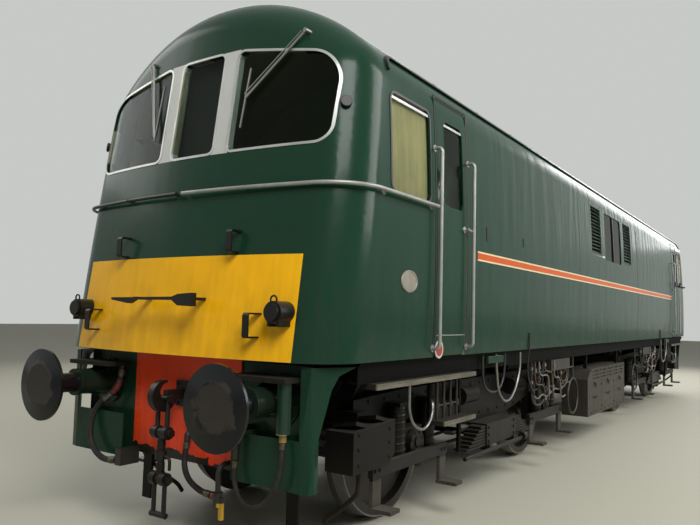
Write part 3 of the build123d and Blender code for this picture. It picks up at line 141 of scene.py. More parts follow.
half_floor = FLOOR_SIZE / 2
floor_mesh = bpy.data.meshes.new("floor")
floor_corners = [(x * half_floor, y * half_floor, 0) for x, y in ((-1, -1), (1, -1), (1, 1), (-1, 1))]
floor_mesh.from_pydata(floor_corners, [], [(0, 1, 2, 3)])
floor_material, _, floor_shader = new_material("floor")
set_values(floor_shader, {"Base Color": FLOOR_COLOUR, "Roughness": FLOOR_ROUGHNESS})
floor_mesh.materials.append(floor_material)
new_object("floor", floor_mesh)

for index, (place, target, size, power) in enumerate(LAMPS):
    lamp_data = bpy.data.lights.new(f"soft_lamp_{index}", "AREA")
    lamp_data.shape = "SQUARE"
    lamp_data.size = size
    lamp_data.energy = power
    lamp = new_object(f"soft_lamp_{index}", lamp_data)
    lamp.location = place
    lamp.rotation_euler = (Vector(target) - Vector(place)).to_track_quat("-Z", "Y").to_euler()

world = bpy.data.worlds.new("studio")
bpy.context.scene.world = world
world.use_nodes = True
world_tree = world.node_tree
ray = shader_node(world_tree, "LightPath").outputs
shown = math_node(world_tree, "MAXIMUM", ray["Is Camera Ray"], ray["Is Glossy Ray"])
shown = math_node(world_tree, "MAXIMUM", shown, ray["Is Transmission Ray"])
strength = shader_node(world_tree, "Mix", {"Factor": shown, "A": AMBIENT_STRENGTH, "B": BACKDROP_STRENGTH})
background = world_tree.nodes["Background"]
background.inputs["Color"].default_value = BACKDROP_COLOUR
world_tree.links.new(strength.outputs[0], background.inputs["Strength"])

# Free hoses: three at each end, black rubber on metal stubs, hanging in a low loop.
# The thick one on the left is bound with wire and wears a red sleeve; each has a
# crimped ferrule at both ends.

# Routes at the number 1 end in metres: radius, length and control points
HOSES = {
    "left": (0.022, 0.999, (
        (-0.650, -7.170, 1.1847), (-0.655, -7.178, 1.085), (-0.706, -7.197, 1.000), (-0.812, -7.222, 0.938),
        (-0.880, -7.248, 0.829), (-0.880, -7.270, 0.701), (-0.815, -7.280, 0.590), (-0.704, -7.280, 0.525),
        (-0.600, -7.272, 0.520), (-0.5353, -7.264, 0.532),
    )),
    "centre": (0.020, 0.519, (
        (0.130, -7.200, 0.7397), (0.122, -7.212, 0.655), (0.145, -7.232, 0.570), (0.205, -7.248, 0.505),
        (0.290, -7.256, 0.465), (0.370, -7.260, 0.445), (0.4497, -7.260, 0.440),
    )),
    "right": (0.015, 0.880, (
        (1.030, -7.260, 0.8497), (1.036, -7.272, 0.750), (1.030, -7.284, 0.640), (0.985, -7.292, 0.535),
        (0.900, -7.294, 0.455), (0.795, -7.292, 0.430), (0.705, -7.286, 0.475), (0.655, -7.275, 0.560),
        (0.645, -7.266, 0.640), (0.650, -7.262, 0.6997),
    )),
}
RUBBER = (0.016, 0.015, 0.014, 1)
RUBBER_CHALK = (0.034, 0.030, 0.025, 1)
# Fittings along the hoses: kind, distances from the start, how far it stands out
HOSE_FITTINGS = {
    "left": (("ferrule", 0.004, 0.060, 0.0045), ("sleeve", 0.085, 0.205, 0.003),
             ("binding", 0.215, 0.300, 0.002), ("ferrule", 0.925, 0.985, 0.0045)),
    "centre": (("ferrule", 0.004, 0.050, 0.004), ("ferrule", 0.455, 0.505, 0.004)),
    "right": (("ferrule", 0.004, 0.045, 0.004), ("ferrule", 0.825, 0.868, 0.004)),
}
# Each kind of fitting: colour, metallic and roughness
FITTING_FINISHES = {
    "ferrule": ((0.16, 0.135, 0.085, 1), 0.8, 0.42),
    "sleeve": ((0.13, 0.020, 0.012, 1), 0.0, 0.55),
    "binding": ((0.30, 0.29, 0.27, 1), 0.8, 0.40),
}
FITTING_STEP = 0.006
FITTING_SIDES = 18
BINDING_PITCH = 0.0085
BINDING_WIRE = 0.005
BINDING_SIDES = 16


def object_place(tree):
    return shader_node(tree, "TexCoord").outputs["Object"]


def noise(tree, place, scale, detail=2.0, roughness=0.5):
    inputs = {"Vector": place, "Scale": scale, "Detail": detail, "Roughness": roughness}
    return shader_node(tree, "TexNoise", inputs).outputs["Fac"]


def tone_ramp(tree, factor, low, low_colour, high, high_colour):
    """A colour that runs from one tone at a low value to another at a high one."""
    ramp = shader_node(tree, "ValToRGB", {"Fac": factor})
    elements = ramp.color_ramp.elements
    elements[0].position = low
    elements[0].color = low_colour
    elements[1].position = high
    elements[1].color = high_colour
    return ramp.outputs["Color"]


def add_bump(tree, shader, height, strength, distance=0.002):
    bump = shader_node(tree, "Bump", {"Strength": strength, "Distance": distance, "Height": height})
    tree.links.new(bump.outputs["Normal"], shader.inputs["Normal"])


def darker(colour, share):
    return tuple(channel * share for channel in colour[:3]) + (1,)


def rubber_material():
    material, tree, shader = new_material("hose_rubber")
    place = object_place(tree)
    colour = tone_ramp(tree, noise(tree, place, 18.0, 6.0), 0.35, RUBBER, 0.75, RUBBER_CHALK)
    tree.links.new(colour, shader.inputs["Base Color"])
    add_bump(tree, shader, noise(tree, place, 160.0), 0.25)
    set_values(shader, {"Roughness": 0.62, "Specular IOR Level": 0.2})
    return material


def fitting_material(kind):
    colour, metallic, roughness = FITTING_FINISHES[kind]
    material, tree, shader = new_material(f"hose_{kind}")
    wear = noise(tree, object_place(tree), 60.0, 5.0)
    shade = tone_ramp(tree, wear, 0.35, darker(colour, 0.4), 0.65, colour)
    tree.links.new(shade, shader.inputs["Base Color"])
    set_values(shader, {"Metallic": metallic, "Roughness": roughness})
    return material


def add_tube(shape, points, radius, sides=10):
    """A round bar or pipe along straight runs, mitred where they meet."""
    points = [Vector(point) for point in points]
    side_vector = None
    rings = []
    for index, point in enumerate(points):
        ahead = points[min(index + 1, len(points) - 1)] - point
        behind = point - points[max(index - 1, 0)]
        along = (ahead.normalized() + behind.normalized()).normalized()
        if side_vector is None:
            side_vector = along.orthogonal().normalized()
        side_vector = (side_vector - along * side_vector.dot(along)).normalized()
        other = along.cross(side_vector)
        ring = []
        for step in range(sides):
            angle = 2 * pi * step / sides
            ring.append(shape.verts.new(point + (side_vector * cos(angle) + other * sin(angle)) * radius))
        rings.append(ring)
    for first, second in zip(rings, rings[1:]):
        for step in range(sides):
            after = (step + 1) % sides
            shape.faces.new((first[step], first[after], second[after], second[step]))
    shape.faces.new(list(reversed(rings[0])))
    shape.faces.new(rings[-1])


def add_piece(name, shape, material, body, bevel=0.0, sharp=35):
    """Makes a finished piece of a shape and fixes it to a body."""
    bmesh.ops.recalc_face_normals(shape, faces=shape.faces)
    mesh = bpy.data.meshes.new(name)
    for face in shape.faces:
        face.smooth = True
    shape.to_mesh(mesh)
    shape.free()
    mesh.materials.append(material)
    mesh.set_sharp_from_angle(angle=radians(sharp))
    piece = new_object(name, mesh)
    if bevel:
        rounded = piece.modifiers.new("rounded_edges", "BEVEL")
        rounded.width = bevel
        rounded.segments = 2
        rounded.limit_method = "ANGLE"
        rounded.angle_limit = radians(40)
        rounded.use_clamp_overlap = True
    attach(piece, body)
    return piece


def middle_line(curve):
    """Points on the hose's own middle line, read from its spline."""
    bare = curve.copy()
    bare.bevel_depth = 0
    holder = new_object("middle_line", bare)
    evaluated = holder.evaluated_get(bpy.context.evaluated_depsgraph_get())
    mesh = bpy.data.meshes.new_from_object(evaluated)
    points = [vertex.co.copy() for vertex in mesh.vertices]
    bpy.data.objects.remove(holder)
    bpy.data.meshes.remove(mesh)
    return points


def stretch(points, start, end, pitch=FITTING_STEP):
    """Places on a line between two distances from its start, each with its direction."""
    found = []
    run = 0.0
    wanted = start
    for before, after in zip(points, points[1:]):
        length = (after - before).length
        along = (after - before).normalized()
        while wanted <= run + length and wanted <= end:
            found.append((before + along * (wanted - run), along))
            wanted += pitch
        run += length
    return found


def hose_fitting(name, kind, line, start, end, radius):
    shape = bmesh.new()
    if kind == "binding":
        for place, along in stretch(line, start, end, BINDING_PITCH):
            half_wire = along * BINDING_WIRE / 2
            add_tube(shape, [place - half_wire, place + half_wire], radius, BINDING_SIDES)
    else:
        add_tube(shape, [place for place, along in stretch(line, start, end)], radius, FITTING_SIDES)
    return add_piece(name, shape, fitting_materials[kind], "body", sharp=40)


hose_rubber = rubber_material()
fitting_materials = {kind: fitting_material(kind) for kind in FITTING_FINISHES}
for end, sign in (("1", 1), ("2", -1)):
    for side, (radius, length, route) in HOSES.items():
        curve = bpy.data.curves.new(f"hose_{end}_{side}_rubber", "CURVE")
        curve.dimensions = "3D"
        curve.bevel_depth = radius
        curve.bevel_resolution = 5
        curve.resolution_u = 16
        curve.use_fill_caps = True
        spline = curve.splines.new("NURBS")
        spline.points.add(len(route) - 1)
        for point, (x, y, z) in zip(spline.points, route):
            point.co = (sign * x, sign * y, z, 1)
        spline.order_u = 3
        spline.use_endpoint_u = True
        curve.materials.append(hose_rubber)
        hose = new_object(curve.name, curve)
        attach(hose, "body")
        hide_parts(f"hose_{end}_{side}")
        line = middle_line(curve)
        for index, (kind, start, stop, proud) in enumerate(HOSE_FITTINGS[side]):
            name = f"hose_{end}_{side}_{kind}_{index}"
            hose_fitting(name, kind, line, start, stop, radius + proud)
        x, y, z = route[0]

# Body paint: dark green gloss over steel plate, with a yellow warning panel low on
# each front, white pillars between the windscreens and a lined orange waist band.

GREEN = (0.0042, 0.0330, 0.0165, 1)
GREEN_FADED = (0.0085, 0.0430, 0.0230, 1)
YELLOW = (0.98, 0.50, 0.008, 1)
PILLAR_WHITE = (0.56, 0.57, 0.53, 1)
BAND_ORANGE = (0.62, 0.090, 0.005, 1)
BAND_CREAM = (0.78, 0.66, 0.36, 1)
BROWN_DIRT = (0.030, 0.025, 0.018, 1)
DUST = (0.125, 0.115, 0.092, 1)
FRONT_Y = (6.85, 9.0)
SIDE_BAND_X = (1.25, 2.0)
SIDE_BAND_Y = (-1.0, 5.13)
# Painted areas: colour, then the ranges across and along from the middle, and up
BODY_AREAS = (
    (YELLOW, (-1.08, 1.08), FRONT_Y, (1.336, 2.013)),
    (PILLAR_WHITE, (0.200, 0.362), FRONT_Y, (2.745, 3.525)),
    (BAND_CREAM, SIDE_BAND_X, SIDE_BAND_Y, (2.128, 2.210)),
    (BAND_ORANGE, SIDE_BAND_X, SIDE_BAND_Y, (2.142, 2.196)),
)
PLATE_WAVE = (1.2, 2.6, 0.5)
LINING_CREAM = (0.30, 0.29, 0.19, 1)
CAB_MIDDLE_Y = 6.0
CAB_MIDDLE_Z = 2.6
LEAST_LINING = 0.002
MERGE_DISTANCE = 0.00001
SMOOTH_ANGLE = radians(28)


def add_group_inputs(tree, rows):
    """Named inputs of a node group: name, kind and value."""
    for name, kind, value in rows:
        socket = tree.interface.new_socket(name, in_out="INPUT", socket_type=f"NodeSocket{kind}")
        if value is not None:
            socket.default_value = value


def map_range(tree, value, source, target=(0.0, 1.0)):
    inputs = {"Value": value, "From Min": source[0], "From Max": source[1],
              "To Min": target[0], "To Max": target[1]}
    return shader_node(tree, "MapRange", inputs).outputs[0]


def mix_colour(tree, factor, first, second):
    mixed = shader_node(tree, "Mix", {"Factor": factor, 6: first, 7: second}, data_type="RGBA")
    return mixed.outputs[2]


def dirt_group():
    """Grime in streaks and blotches that thickens downwards, and dust on upward faces."""
    tree = bpy.data.node_groups.new("dirt", "ShaderNodeTree")
    add_group_inputs(tree, (("Colour", "Color", (1, 1, 1, 1)), ("Dirt colour", "Color", BROWN_DIRT),
                            ("Amount", "Float", 0.3), ("Low", "Float", 1.3), ("High", "Float", 2.2),
                            ("Top dust", "Float", 0.0)))
    tree.interface.new_socket("Colour", in_out="OUTPUT", socket_type="NodeSocketColor")
    tree.interface.new_socket("Mask", in_out="OUTPUT", socket_type="NodeSocketFloat")
    given = tree.nodes.new("NodeGroupInput").outputs
    result = tree.nodes.new("NodeGroupOutput")
    place = object_place(tree)
    blotch = noise(tree, place, 4.0, 8.0, 0.65)
    stretched = shader_node(tree, "Mapping", {"Vector": place, "Scale": (9.0, 9.0, 0.8)})
    streak = noise(tree, stretched.outputs["Vector"], 2.0, 6.0)
    spread = map_range(tree, math_node(tree, "MULTIPLY", blotch, streak), (0.16, 0.42))
    height = shader_node(tree, "SeparateXYZ", {"Vector": place}).outputs["Z"]
    low = map_range(tree, height, (given["Low"], given["High"]), (1.0, 0.25))
    mask = math_node(tree, "MULTIPLY", spread, low)
    mask = math_node(tree, "MULTIPLY", mask, given["Amount"], clamp=True)
    mixed = mix_colour(tree, mask, given["Colour"], given["Dirt colour"])
    facing = shader_node(tree, "NewGeometry").outputs["Normal"]
    upward = shader_node(tree, "SeparateXYZ", {"Vector": facing}).outputs["Z"]
    settled = math_node(tree, "MULTIPLY", map_range(tree, upward, (0.45, 0.95)), blotch)
    settled = math_node(tree, "MULTIPLY", settled, given["Top dust"], clamp=True)
    dusted = mix_colour(tree, settled, mixed, DUST)
    tree.links.new(dusted, result.inputs["Colour"])
    tree.links.new(mask, result.inputs["Mask"])
    return tree


dirt = dirt_group()


def add_dirt(tree, shader, colour, amount, levels, roughness, dirt_colour=BROWN_DIRT, top_dust=0.0):
    """Lays dirt between two levels over a colour; roughness goes from clean to dirty."""
    inputs = {"Colour": colour, "Dirt colour": dirt_colour, "Amount": amount, "Low": levels[0],
              "High": levels[1], "Top dust": top_dust}
    grime = shader_node(tree, "Group", inputs, node_tree=dirt)
    rough = map_range(tree, grime.outputs["Mask"], (0.0, 1.0), roughness)
    tree.links.new(grime.outputs["Colour"], shader.inputs["Base Color"])
    tree.links.new(rough, shader.inputs["Roughness"])


def band_mask(tree, value, low, high):
    """1 where the value lies between low and high."""
    return math_node(tree, "COMPARE", value, (low + high) / 2, (high - low) / 2)


def product(tree, *values):
    total = values[0]
    for value in values[1:]:
        total = math_node(tree, "MULTIPLY", total, value)
    return total


def place_axes(tree):
    """Object coordinates, distances from the middle across and along, and height."""
    place = object_place(tree)
    parts = shader_node(tree, "SeparateXYZ", {"Vector": place}).outputs
    across = math_node(tree, "ABSOLUTE", parts["X"])
    along = math_node(tree, "ABSOLUTE", parts["Y"])
    return {"place": place, "across": across, "along": along, "height": parts["Z"]}


def area_mask(tree, axes, **spans):
    """1 inside the spans that are given, of across, along and height."""
    return product(tree, *(band_mask(tree, axes[way], *span) for way, span in spans.items()))


def paint_areas(tree, axes, colour, areas):
    """Lays each area's colour over the ground colour, in the order of the rows."""
    for tint, across, along, height in areas:
        inside = area_mask(tree, axes, across=across, along=along, height=height)
        colour = mix_colour(tree, inside, colour, tint)
    return colour


def plain_paint(name, colour, **dirt_values):
    """Paint of one colour under its dirt."""
    material, tree, shader = new_material(name)
    add_dirt(tree, shader, colour, **dirt_values)
    return material


def body_paint_material():
    material, tree, shader = new_material("body_paint")
    axes = place_axes(tree)
    ground = mix_colour(tree, noise(tree, axes["place"], 0.9, 5.0), GREEN, GREEN_FADED)
    painted = paint_areas(tree, axes, ground, BODY_AREAS)
    add_dirt(tree, shader, painted, amount=0.30, levels=(1.3, 2.3), roughness=(0.22, 0.55))
    pulled = shader_node(tree, "Mapping", {"Vector": axes["place"], "Scale": PLATE_WAVE})
    add_bump(tree, shader, noise(tree, pulled.outputs["Vector"], 1.9, 1.5), 0.30, 0.02)
    set_values(shader, {"Specular IOR Level": 0.15, "Coat Weight": 0.05, "Coat Roughness": 0.05})
    return material


def smooth_skin(name, material, lining=None):
    """A merged, smoothly shaded copy of a plate node that stands for it."""
    source = nodes[name]
    mesh = source.data.copy()
    mesh.materials.clear()
    mesh.materials.append(material)
    shape = bmesh.new()
    shape.from_mesh(mesh)
    bmesh.ops.remove_doubles(shape, verts=shape.verts, dist=MERGE_DISTANCE)
    for face in shape.faces:
        face.smooth = True
        face.material_index = 0
    shape.to_mesh(mesh)
    shape.free()
    if lining is not None:
        mesh.materials.append(lining)
        for face in mesh.polygons:
            outward = face.center.x * face.normal.x + (face.center.z - CAB_MIDDLE_Z) * face.normal.z
            end = 1 if face.center.y > 0 else -1
            outward += (abs(face.center.y) - CAB_MIDDLE_Y) * face.normal.y * end
            if outward < 0 and face.area > LEAST_LINING:
                face.material_index = 1
    mesh.set_sharp_from_angle(angle=SMOOTH_ANGLE)
    skin = new_object(name + "_skin", mesh)
    evened = skin.modifiers.new("evened_shading", "WEIGHTED_NORMAL")
    evened.keep_sharp = True
    evened.weight = 90
    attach(skin, source["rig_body"])
    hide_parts(name)


def dress(material, *names):
    """Gives CAD nodes their finish."""
    for name in names:
        data = nodes[name].data
        data.materials.clear()
        data.materials.append(material)


body_paint = body_paint_material()
lining_paint = plain_paint("lining_paint", LINING_CREAM, amount=0.5, levels=(1.3, 2.6), roughness=(0.5, 0.7))
for name in ("cab_1", "cab_2"):
    smooth_skin(name, body_paint, lining_paint)
for name in ("side_right", "side_left", "roof", "roof_well", "door_1_right", "door_1_left", "door_2_right",
             "door_2_left", "cowls"):
    smooth_skin(name, body_paint)

# Window glass: toughened panes held in rubber, tinted a little green and darkened as
# painted shade of the dark rooms behind, lightly dusty, clearer in the cab side windows
# and dark before the machine room, that dark being painted shade of the room inside.

# The tints darken the glass as painted shade of the rooms behind it, most before the machine room
GLASS_TINT_AND_SHADE = (0.50, 0.58, 0.54, 1)
ENGINE_ROOM_SHADE_TINT = (0.10, 0.12, 0.10, 1)
SIDE_TINT = (0.86, 0.90, 0.80, 1)
EVERYWHERE = (-20, 20)
GLASS_AREAS = (
    (SIDE_TINT, (1.22, 1.5), (6.0, 6.65), EVERYWHERE),
    (ENGINE_ROOM_SHADE_TINT, EVERYWHERE, (-0.1, 0.7), EVERYWHERE),
)

window_glass, glass_tree, glass_shader = new_material("window_glass")
glass_axes = place_axes(glass_tree)
glass_dust = noise(glass_tree, glass_axes["place"], 2.5, 6.0)
glass_rough = map_range(glass_tree, glass_dust, (0.45, 0.8), (0.0, 0.05))
glass_tree.links.new(glass_rough, glass_shader.inputs["Roughness"])
glass_colour = paint_areas(glass_tree, glass_axes, GLASS_TINT_AND_SHADE, GLASS_AREAS)
glass_tree.links.new(glass_colour, glass_shader.inputs["Base Color"])
set_values(glass_shader, {"Transmission Weight": 1.0, "IOR": 1.13})
dress(window_glass, "glass", "door_1_right_pane", "door_1_left_pane", "door_2_right_pane", "door_2_left_pane")

# Bright metal: window frames, handrails and wipers, drawn aluminium and painted
# steel tube, dulled by handling and by years of brake dust. One waist rail at each
# end is painted dark, and the cab side windows sit in black rubber.

RAIL_TONES = ((0.24, 0.24, 0.22, 1), (0.46, 0.46, 0.43, 1))
DARK_RAIL = (0.010, 0.018, 0.012, 1)
DARK_RAIL_Z = (2.42, 2.52)
TRIM_TONES = ((0.36, 0.37, 0.35, 1), (0.66, 0.67, 0.63, 1))
SEAL_BLACK = (0.010, 0.010, 0.009, 1)
SEAL_X = (1.2, 1.6)
SEAL_Y = (5.9, 6.7)
TRIM_METALLIC = 0.75


def worn_metal(name, colour, roughness, metallic, dust, dust_colour=BROWN_DIRT, levels=(0.2, 4.0), gloss=0.4,
               top_dust=0.3):
    material, tree, shader = new_material(name)
    place = object_place(tree)
    tone = mix_colour(tree, noise(tree, place, 7.0, 8.0, 0.7), darker(colour, 0.55), colour)
    when_dirty = min(roughness + 0.3, 0.95)
    add_dirt(tree, shader, tone, dust, levels, (roughness, when_dirty), dust_colour, top_dust)
    add_bump(tree, shader, noise(tree, place, 90.0, 4.0), 0.3)
    set_values(shader, {"Metallic": metallic, "Specular IOR Level": gloss})
    return material


def mottled(tree, place, tones, scale, detail=8.0):
    """A colour that wanders between two tones."""
    return mix_colour(tree, noise(tree, place, scale, detail), *tones)


bright_frame = worn_metal("bright_frame", (0.62, 0.63, 0.60, 1), roughness=0.35, metallic=0.8, dust=0.3)
rail_paint = worn_metal("rail_paint", (0.42, 0.42, 0.39, 1), roughness=0.38, metallic=0.5, dust=0.5)
wiper_metal = worn_metal("wiper_metal", (0.35, 0.35, 0.33, 1), roughness=0.35, metallic=0.8, dust=0.4)
rail_metal, rail_tree, rail_shader = new_material("rail_metal")
rail_place = object_place(rail_tree)
rail_parts = shader_node(rail_tree, "SeparateXYZ", {"Vector": rail_place}).outputs
rail_hand = math_node(rail_tree, "MULTIPLY", rail_parts["X"], rail_parts["Y"])
dark_rail = product(rail_tree, band_mask(rail_tree, rail_hand, 0.05, 20.0),
                    band_mask(rail_tree, rail_parts["Z"], *DARK_RAIL_Z))
rail_colour = mix_colour(rail_tree, dark_rail, mottled(rail_tree, rail_place, RAIL_TONES, 7.0), DARK_RAIL)
add_dirt(rail_tree, rail_shader, rail_colour, amount=0.5, levels=(0.2, 4.0), roughness=(0.38, 0.65))
set_values(rail_shader, {"Metallic": 0.5})
window_trim, trim_tree, trim_shader = new_material("window_trim")
trim_axes = place_axes(trim_tree)
rubber = area_mask(trim_tree, trim_axes, along=SEAL_Y, across=SEAL_X)
trim_metal = mottled(trim_tree, trim_axes["place"], TRIM_TONES, 7.0)
trim_colour = mix_colour(trim_tree, rubber, trim_metal, SEAL_BLACK)
add_dirt(trim_tree, trim_shader, trim_colour, amount=0.3, levels=(0.2, 4.0), roughness=(0.36, 0.65))
metal_share = math_node(trim_tree, "MULTIPLY_ADD", rubber, -TRIM_METALLIC, TRIM_METALLIC)
trim_tree.links.new(metal_share, trim_shader.inputs["Metallic"])
dress(window_trim, "window_frames")
dress(rail_metal, "handrails")
dress(wiper_metal, "wipers")

# Black enamel: the rain gutters along the roof, and the lamp irons, sockets and step
# bar on the fronts, all of steel, screwed to the plates and brushed black.

black_enamel = worn_metal("black_enamel", (0.011, 0.0105, 0.010, 1), roughness=0.35, metallic=0.0, dust=0.25,
                          gloss=0.25)
dress(black_enamel, "gutters", "front_fittings")

# Louvres: pressed steel slats before the machine room, welded in their frames and
# painted with the body, with dust held between them.

louvre_paint = plain_paint("louvre_paint", (0.012, 0.040, 0.026, 1), amount=0.7, levels=(2.0, 3.6),
                           roughness=(0.4, 0.7))
dress(louvre_paint, "louvres")

# Cab inside: steel bulkheads, desk and seats in drab green, and the machine sets
# behind the side windows in works grey.

bulkhead_paint = plain_paint("bulkhead_paint", (0.30, 0.33, 0.22, 1), amount=0.5, levels=(1.3, 3.0),
                             roughness=(0.5, 0.7))
dress(bulkhead_paint, "bulkheads", "cab_furniture")
machine_paint = worn_metal("machine_paint", (0.16, 0.17, 0.17, 1), roughness=0.5, metallic=0.0, dust=0.4)
dress(machine_paint, "booster_sets")

# Buffer beam: a bolted steel panel in signal red, chipped and oily, and black along
# its lower edge.

BEAM_RED = (0.86, 0.062, 0.012, 1)
BEAM_BLACK = (0.012, 0.011, 0.010, 1)
BEAM_BLACK_TOP = (0.585, 0.665)

beam_red, beam_tree, beam_shader = new_material("beam_red")
beam_axes = place_axes(beam_tree)
beam_level = map_range(beam_tree, noise(beam_tree, beam_axes["place"], 9.0, 4.0), (0.3, 0.7), BEAM_BLACK_TOP)
beam_low = math_node(beam_tree, "LESS_THAN", beam_axes["height"], beam_level)
beam_colour = mix_colour(beam_tree, beam_low, BEAM_RED, BEAM_BLACK)
add_dirt(beam_tree, beam_shader, beam_colour, amount=0.55, levels=(0.5, 1.5), roughness=(0.32, 0.6))
set_values(beam_shader, {"Specular IOR Level": 0.3})
dress(beam_red, "beam_panels")

# Underframe and bogies: plate and cast steel in black paint, long since covered in
# brown brake dust and oil, with bare rust on the brakes and pale dust on the shoes.
# The underframe's black and the oily brown dirt are made darker still as painted
# shade under the body.

# Near-black paint, and below it oily brown dirt, both darkened further as painted shade under the body
SHADED_BLACK_PAINT = (0.0035, 0.0034, 0.0032, 1)
OILY_BROWN_AND_SHADE = (0.012, 0.0095, 0.0065, 1)
RUST_DUST = (0.040, 0.027, 0.018, 1)
BOX_DUST = (0.022, 0.019, 0.014, 1)
# Each finish: colour, roughness, metallic, dust, its colour and levels, gloss, dust on top
FRAME_FINISHES = {
    "frame_black_and_shade": (SHADED_BLACK_PAINT, 0.60, 0.0, 0.4, OILY_BROWN_AND_SHADE, (0.9, 1.4), 0.05, 0.3),
    "frame_grime": ((0.0060, 0.0057, 0.0052, 1), 0.42, 0.0, 0.5, OILY_BROWN_AND_SHADE, (0.2, 1.4), 0.14, 0.6),
    "box_grime": ((0.0075, 0.0070, 0.0064, 1), 0.36, 0.0, 0.5, OILY_BROWN_AND_SHADE, (0.2, 1.2), 0.20, 0.6),
    "rusty_iron": ((0.026, 0.020, 0.016, 1), 0.60, 0.2, 0.7, RUST_DUST, (0.2, 1.4), 0.20, 0.3),
    "battery_paint": ((0.032, 0.028, 0.016, 1), 0.42, 0.0, 0.6, BOX_DUST, (0.4, 1.1), 0.35, 0.8),
}
# Above its plates the shoe gear is black, painted shade of the beams under the body
SHOE_SHADE_BLACK = (0.007, 0.006, 0.005, 1)
SHOE_TONES = ((0.018, 0.015, 0.011, 1), (0.070, 0.062, 0.047, 1))
SHOE_PLATE_Z = (-0.1, 0.49)
PIPE_TONES = ((0.010, 0.0095, 0.009, 1), (0.030, 0.028, 0.025, 1))
# Painted stretches of the pipes at the ends: colour, then the ranges across, along and up
PIPE_AREAS = (
    ((0.006, 0.034, 0.020, 1), (0.97, 1.09), (7.1, 7.5), (0.905, 1.25)),
    ((0.30, 0.21, 0.07, 1), (0.99, 1.07), (7.1, 7.5), (0.84, 0.905)),
    ((0.20, 0.018, 0.010, 1), (0.440, 0.478), (7.1, 7.5), (0.40, 0.48)),
    ((0.62, 0.36, 0.02, 1), (0.516, 0.56), (7.2, 7.5), (0.28, 0.405)),
)

finishes = {name: worn_metal(name, *values) for name, values in FRAME_FINISHES.items()}
shoe_iron, shoe_tree, shoe_shader = new_material("shoe_iron")
shoe_axes = place_axes(shoe_tree)
on_plate = area_mask(shoe_tree, shoe_axes, height=SHOE_PLATE_Z)
plate_colour = mottled(shoe_tree, shoe_axes["place"], SHOE_TONES, 6.0)
# Black above the plates is painted shade
shoe_colour = mix_colour(shoe_tree, on_plate, SHOE_SHADE_BLACK, plate_colour)
add_dirt(shoe_tree, shoe_shader, shoe_colour, amount=0.4, levels=(0.2, 1.2), roughness=(0.5, 0.7),
         dirt_colour=OILY_BROWN_AND_SHADE, top_dust=1.0)
set_values(shoe_shader, {"Specular IOR Level": 0.25})
pipe_iron, pipe_tree, pipe_shader = new_material("pipe_iron")
pipe_axes = place_axes(pipe_tree)
pipe_ground = mottled(pipe_tree, pipe_axes["place"], PIPE_TONES, 5.0)
pipe_colour = paint_areas(pipe_tree, pipe_axes, pipe_ground, PIPE_AREAS)
add_dirt(pipe_tree, pipe_shader, pipe_colour, amount=0.4, levels=(0.3, 1.8), roughness=(0.38, 0.65))
set_values(pipe_shader, {"Metallic": 0.25})
# The underframe's near-black finish is partly painted shade
dress(finishes["frame_black_and_shade"], "underframe")
dress(finishes["battery_paint"], "battery_boxes")
dress(pipe_iron, "pipes")
for bogie in ("bogie_1", "bogie_2"):
    dress(finishes["frame_grime"], f"{bogie}_frame")
    dress(finishes["box_grime"], f"{bogie}_boxes", f"{bogie}_motors")
    dress(finishes["rusty_iron"], f"{bogie}_brakes")
    dress(shoe_iron, f"{bogie}_shoe_gear")

# Wheelsets: rolled steel discs with tyres shrunk on, rusty and oily but for the
# bright ring that runs on the rail.

AXLE_HEIGHT = 0.6395
BOGIE_Y = 4.115
HALF_WHEELBASE = 1.6
TREAD_RADII = (0.595, 0.6125)
TREAD_X = (0.70, 0.84)
WHEEL_BROWN = (0.013, 0.0115, 0.010, 1)
TREAD_BRIGHT = (0.16, 0.155, 0.15, 1)
WHEEL_DUST = (0.05, 0.034, 0.022, 1)


def centre_distance(tree, first, second):
    """How far a point lies from the middle of a round face, from its two offsets."""
    spoke = shader_node(tree, "CombineXYZ", {"X": first, "Y": second}).outputs[0]
    return shader_node(tree, "VectorMath", {0: spoke}, operation="LENGTH").outputs["Value"]


wheel_steel, wheel_tree, wheel_shader = new_material("wheel_steel")
wheel_axes = place_axes(wheel_tree)
from_bogie = math_node(wheel_tree, "SUBTRACT", wheel_axes["along"], BOGIE_Y)
from_bogie = math_node(wheel_tree, "ABSOLUTE", from_bogie)
from_axle = math_node(wheel_tree, "SUBTRACT", from_bogie, HALF_WHEELBASE)
rise = math_node(wheel_tree, "SUBTRACT", wheel_axes["height"], AXLE_HEIGHT)
from_centre = centre_distance(wheel_tree, from_axle, rise)
tread = product(wheel_tree, band_mask(wheel_tree, from_centre, *TREAD_RADII),
                area_mask(wheel_tree, wheel_axes, across=TREAD_X))
wheel_colour = mix_colour(wheel_tree, tread, WHEEL_BROWN, TREAD_BRIGHT)
add_dirt(wheel_tree, wheel_shader, wheel_colour, amount=0.5, levels=(0.0, 1.3), roughness=(0.40, 0.7),
         dirt_colour=WHEEL_DUST)
set_values(wheel_shader, {"Metallic": 0.4})
dress(wheel_steel, "wheelset_1", "wheelset_2", "wheelset_3", "wheelset_4")

# Buffers and coupling: greased black steel heads with a faint blue in the black as a
# painted sheen and a worn grey patch, cast housings in green, and a forged hook with its
# screw coupling.

BUFFER_X = 0.8725
BUFFER_Z = 1.084
# Blue-black: black steel, with a painted sheen in its blue
BUFFER_BLACK_AND_SHEEN = (0.0075, 0.0080, 0.0105, 1)
WORN_TONES = ((0.030, 0.026, 0.023, 1), (0.046, 0.041, 0.036, 1))
WORN_EDGE = (0.318, 0.338)
RAGGED = 0.34
HEAD_FACE_Y = (7.66, 7.8)
HOUSING_GREEN = (0.012, 0.024, 0.015, 1)
HOUSING_Y = (7.0, 7.432)

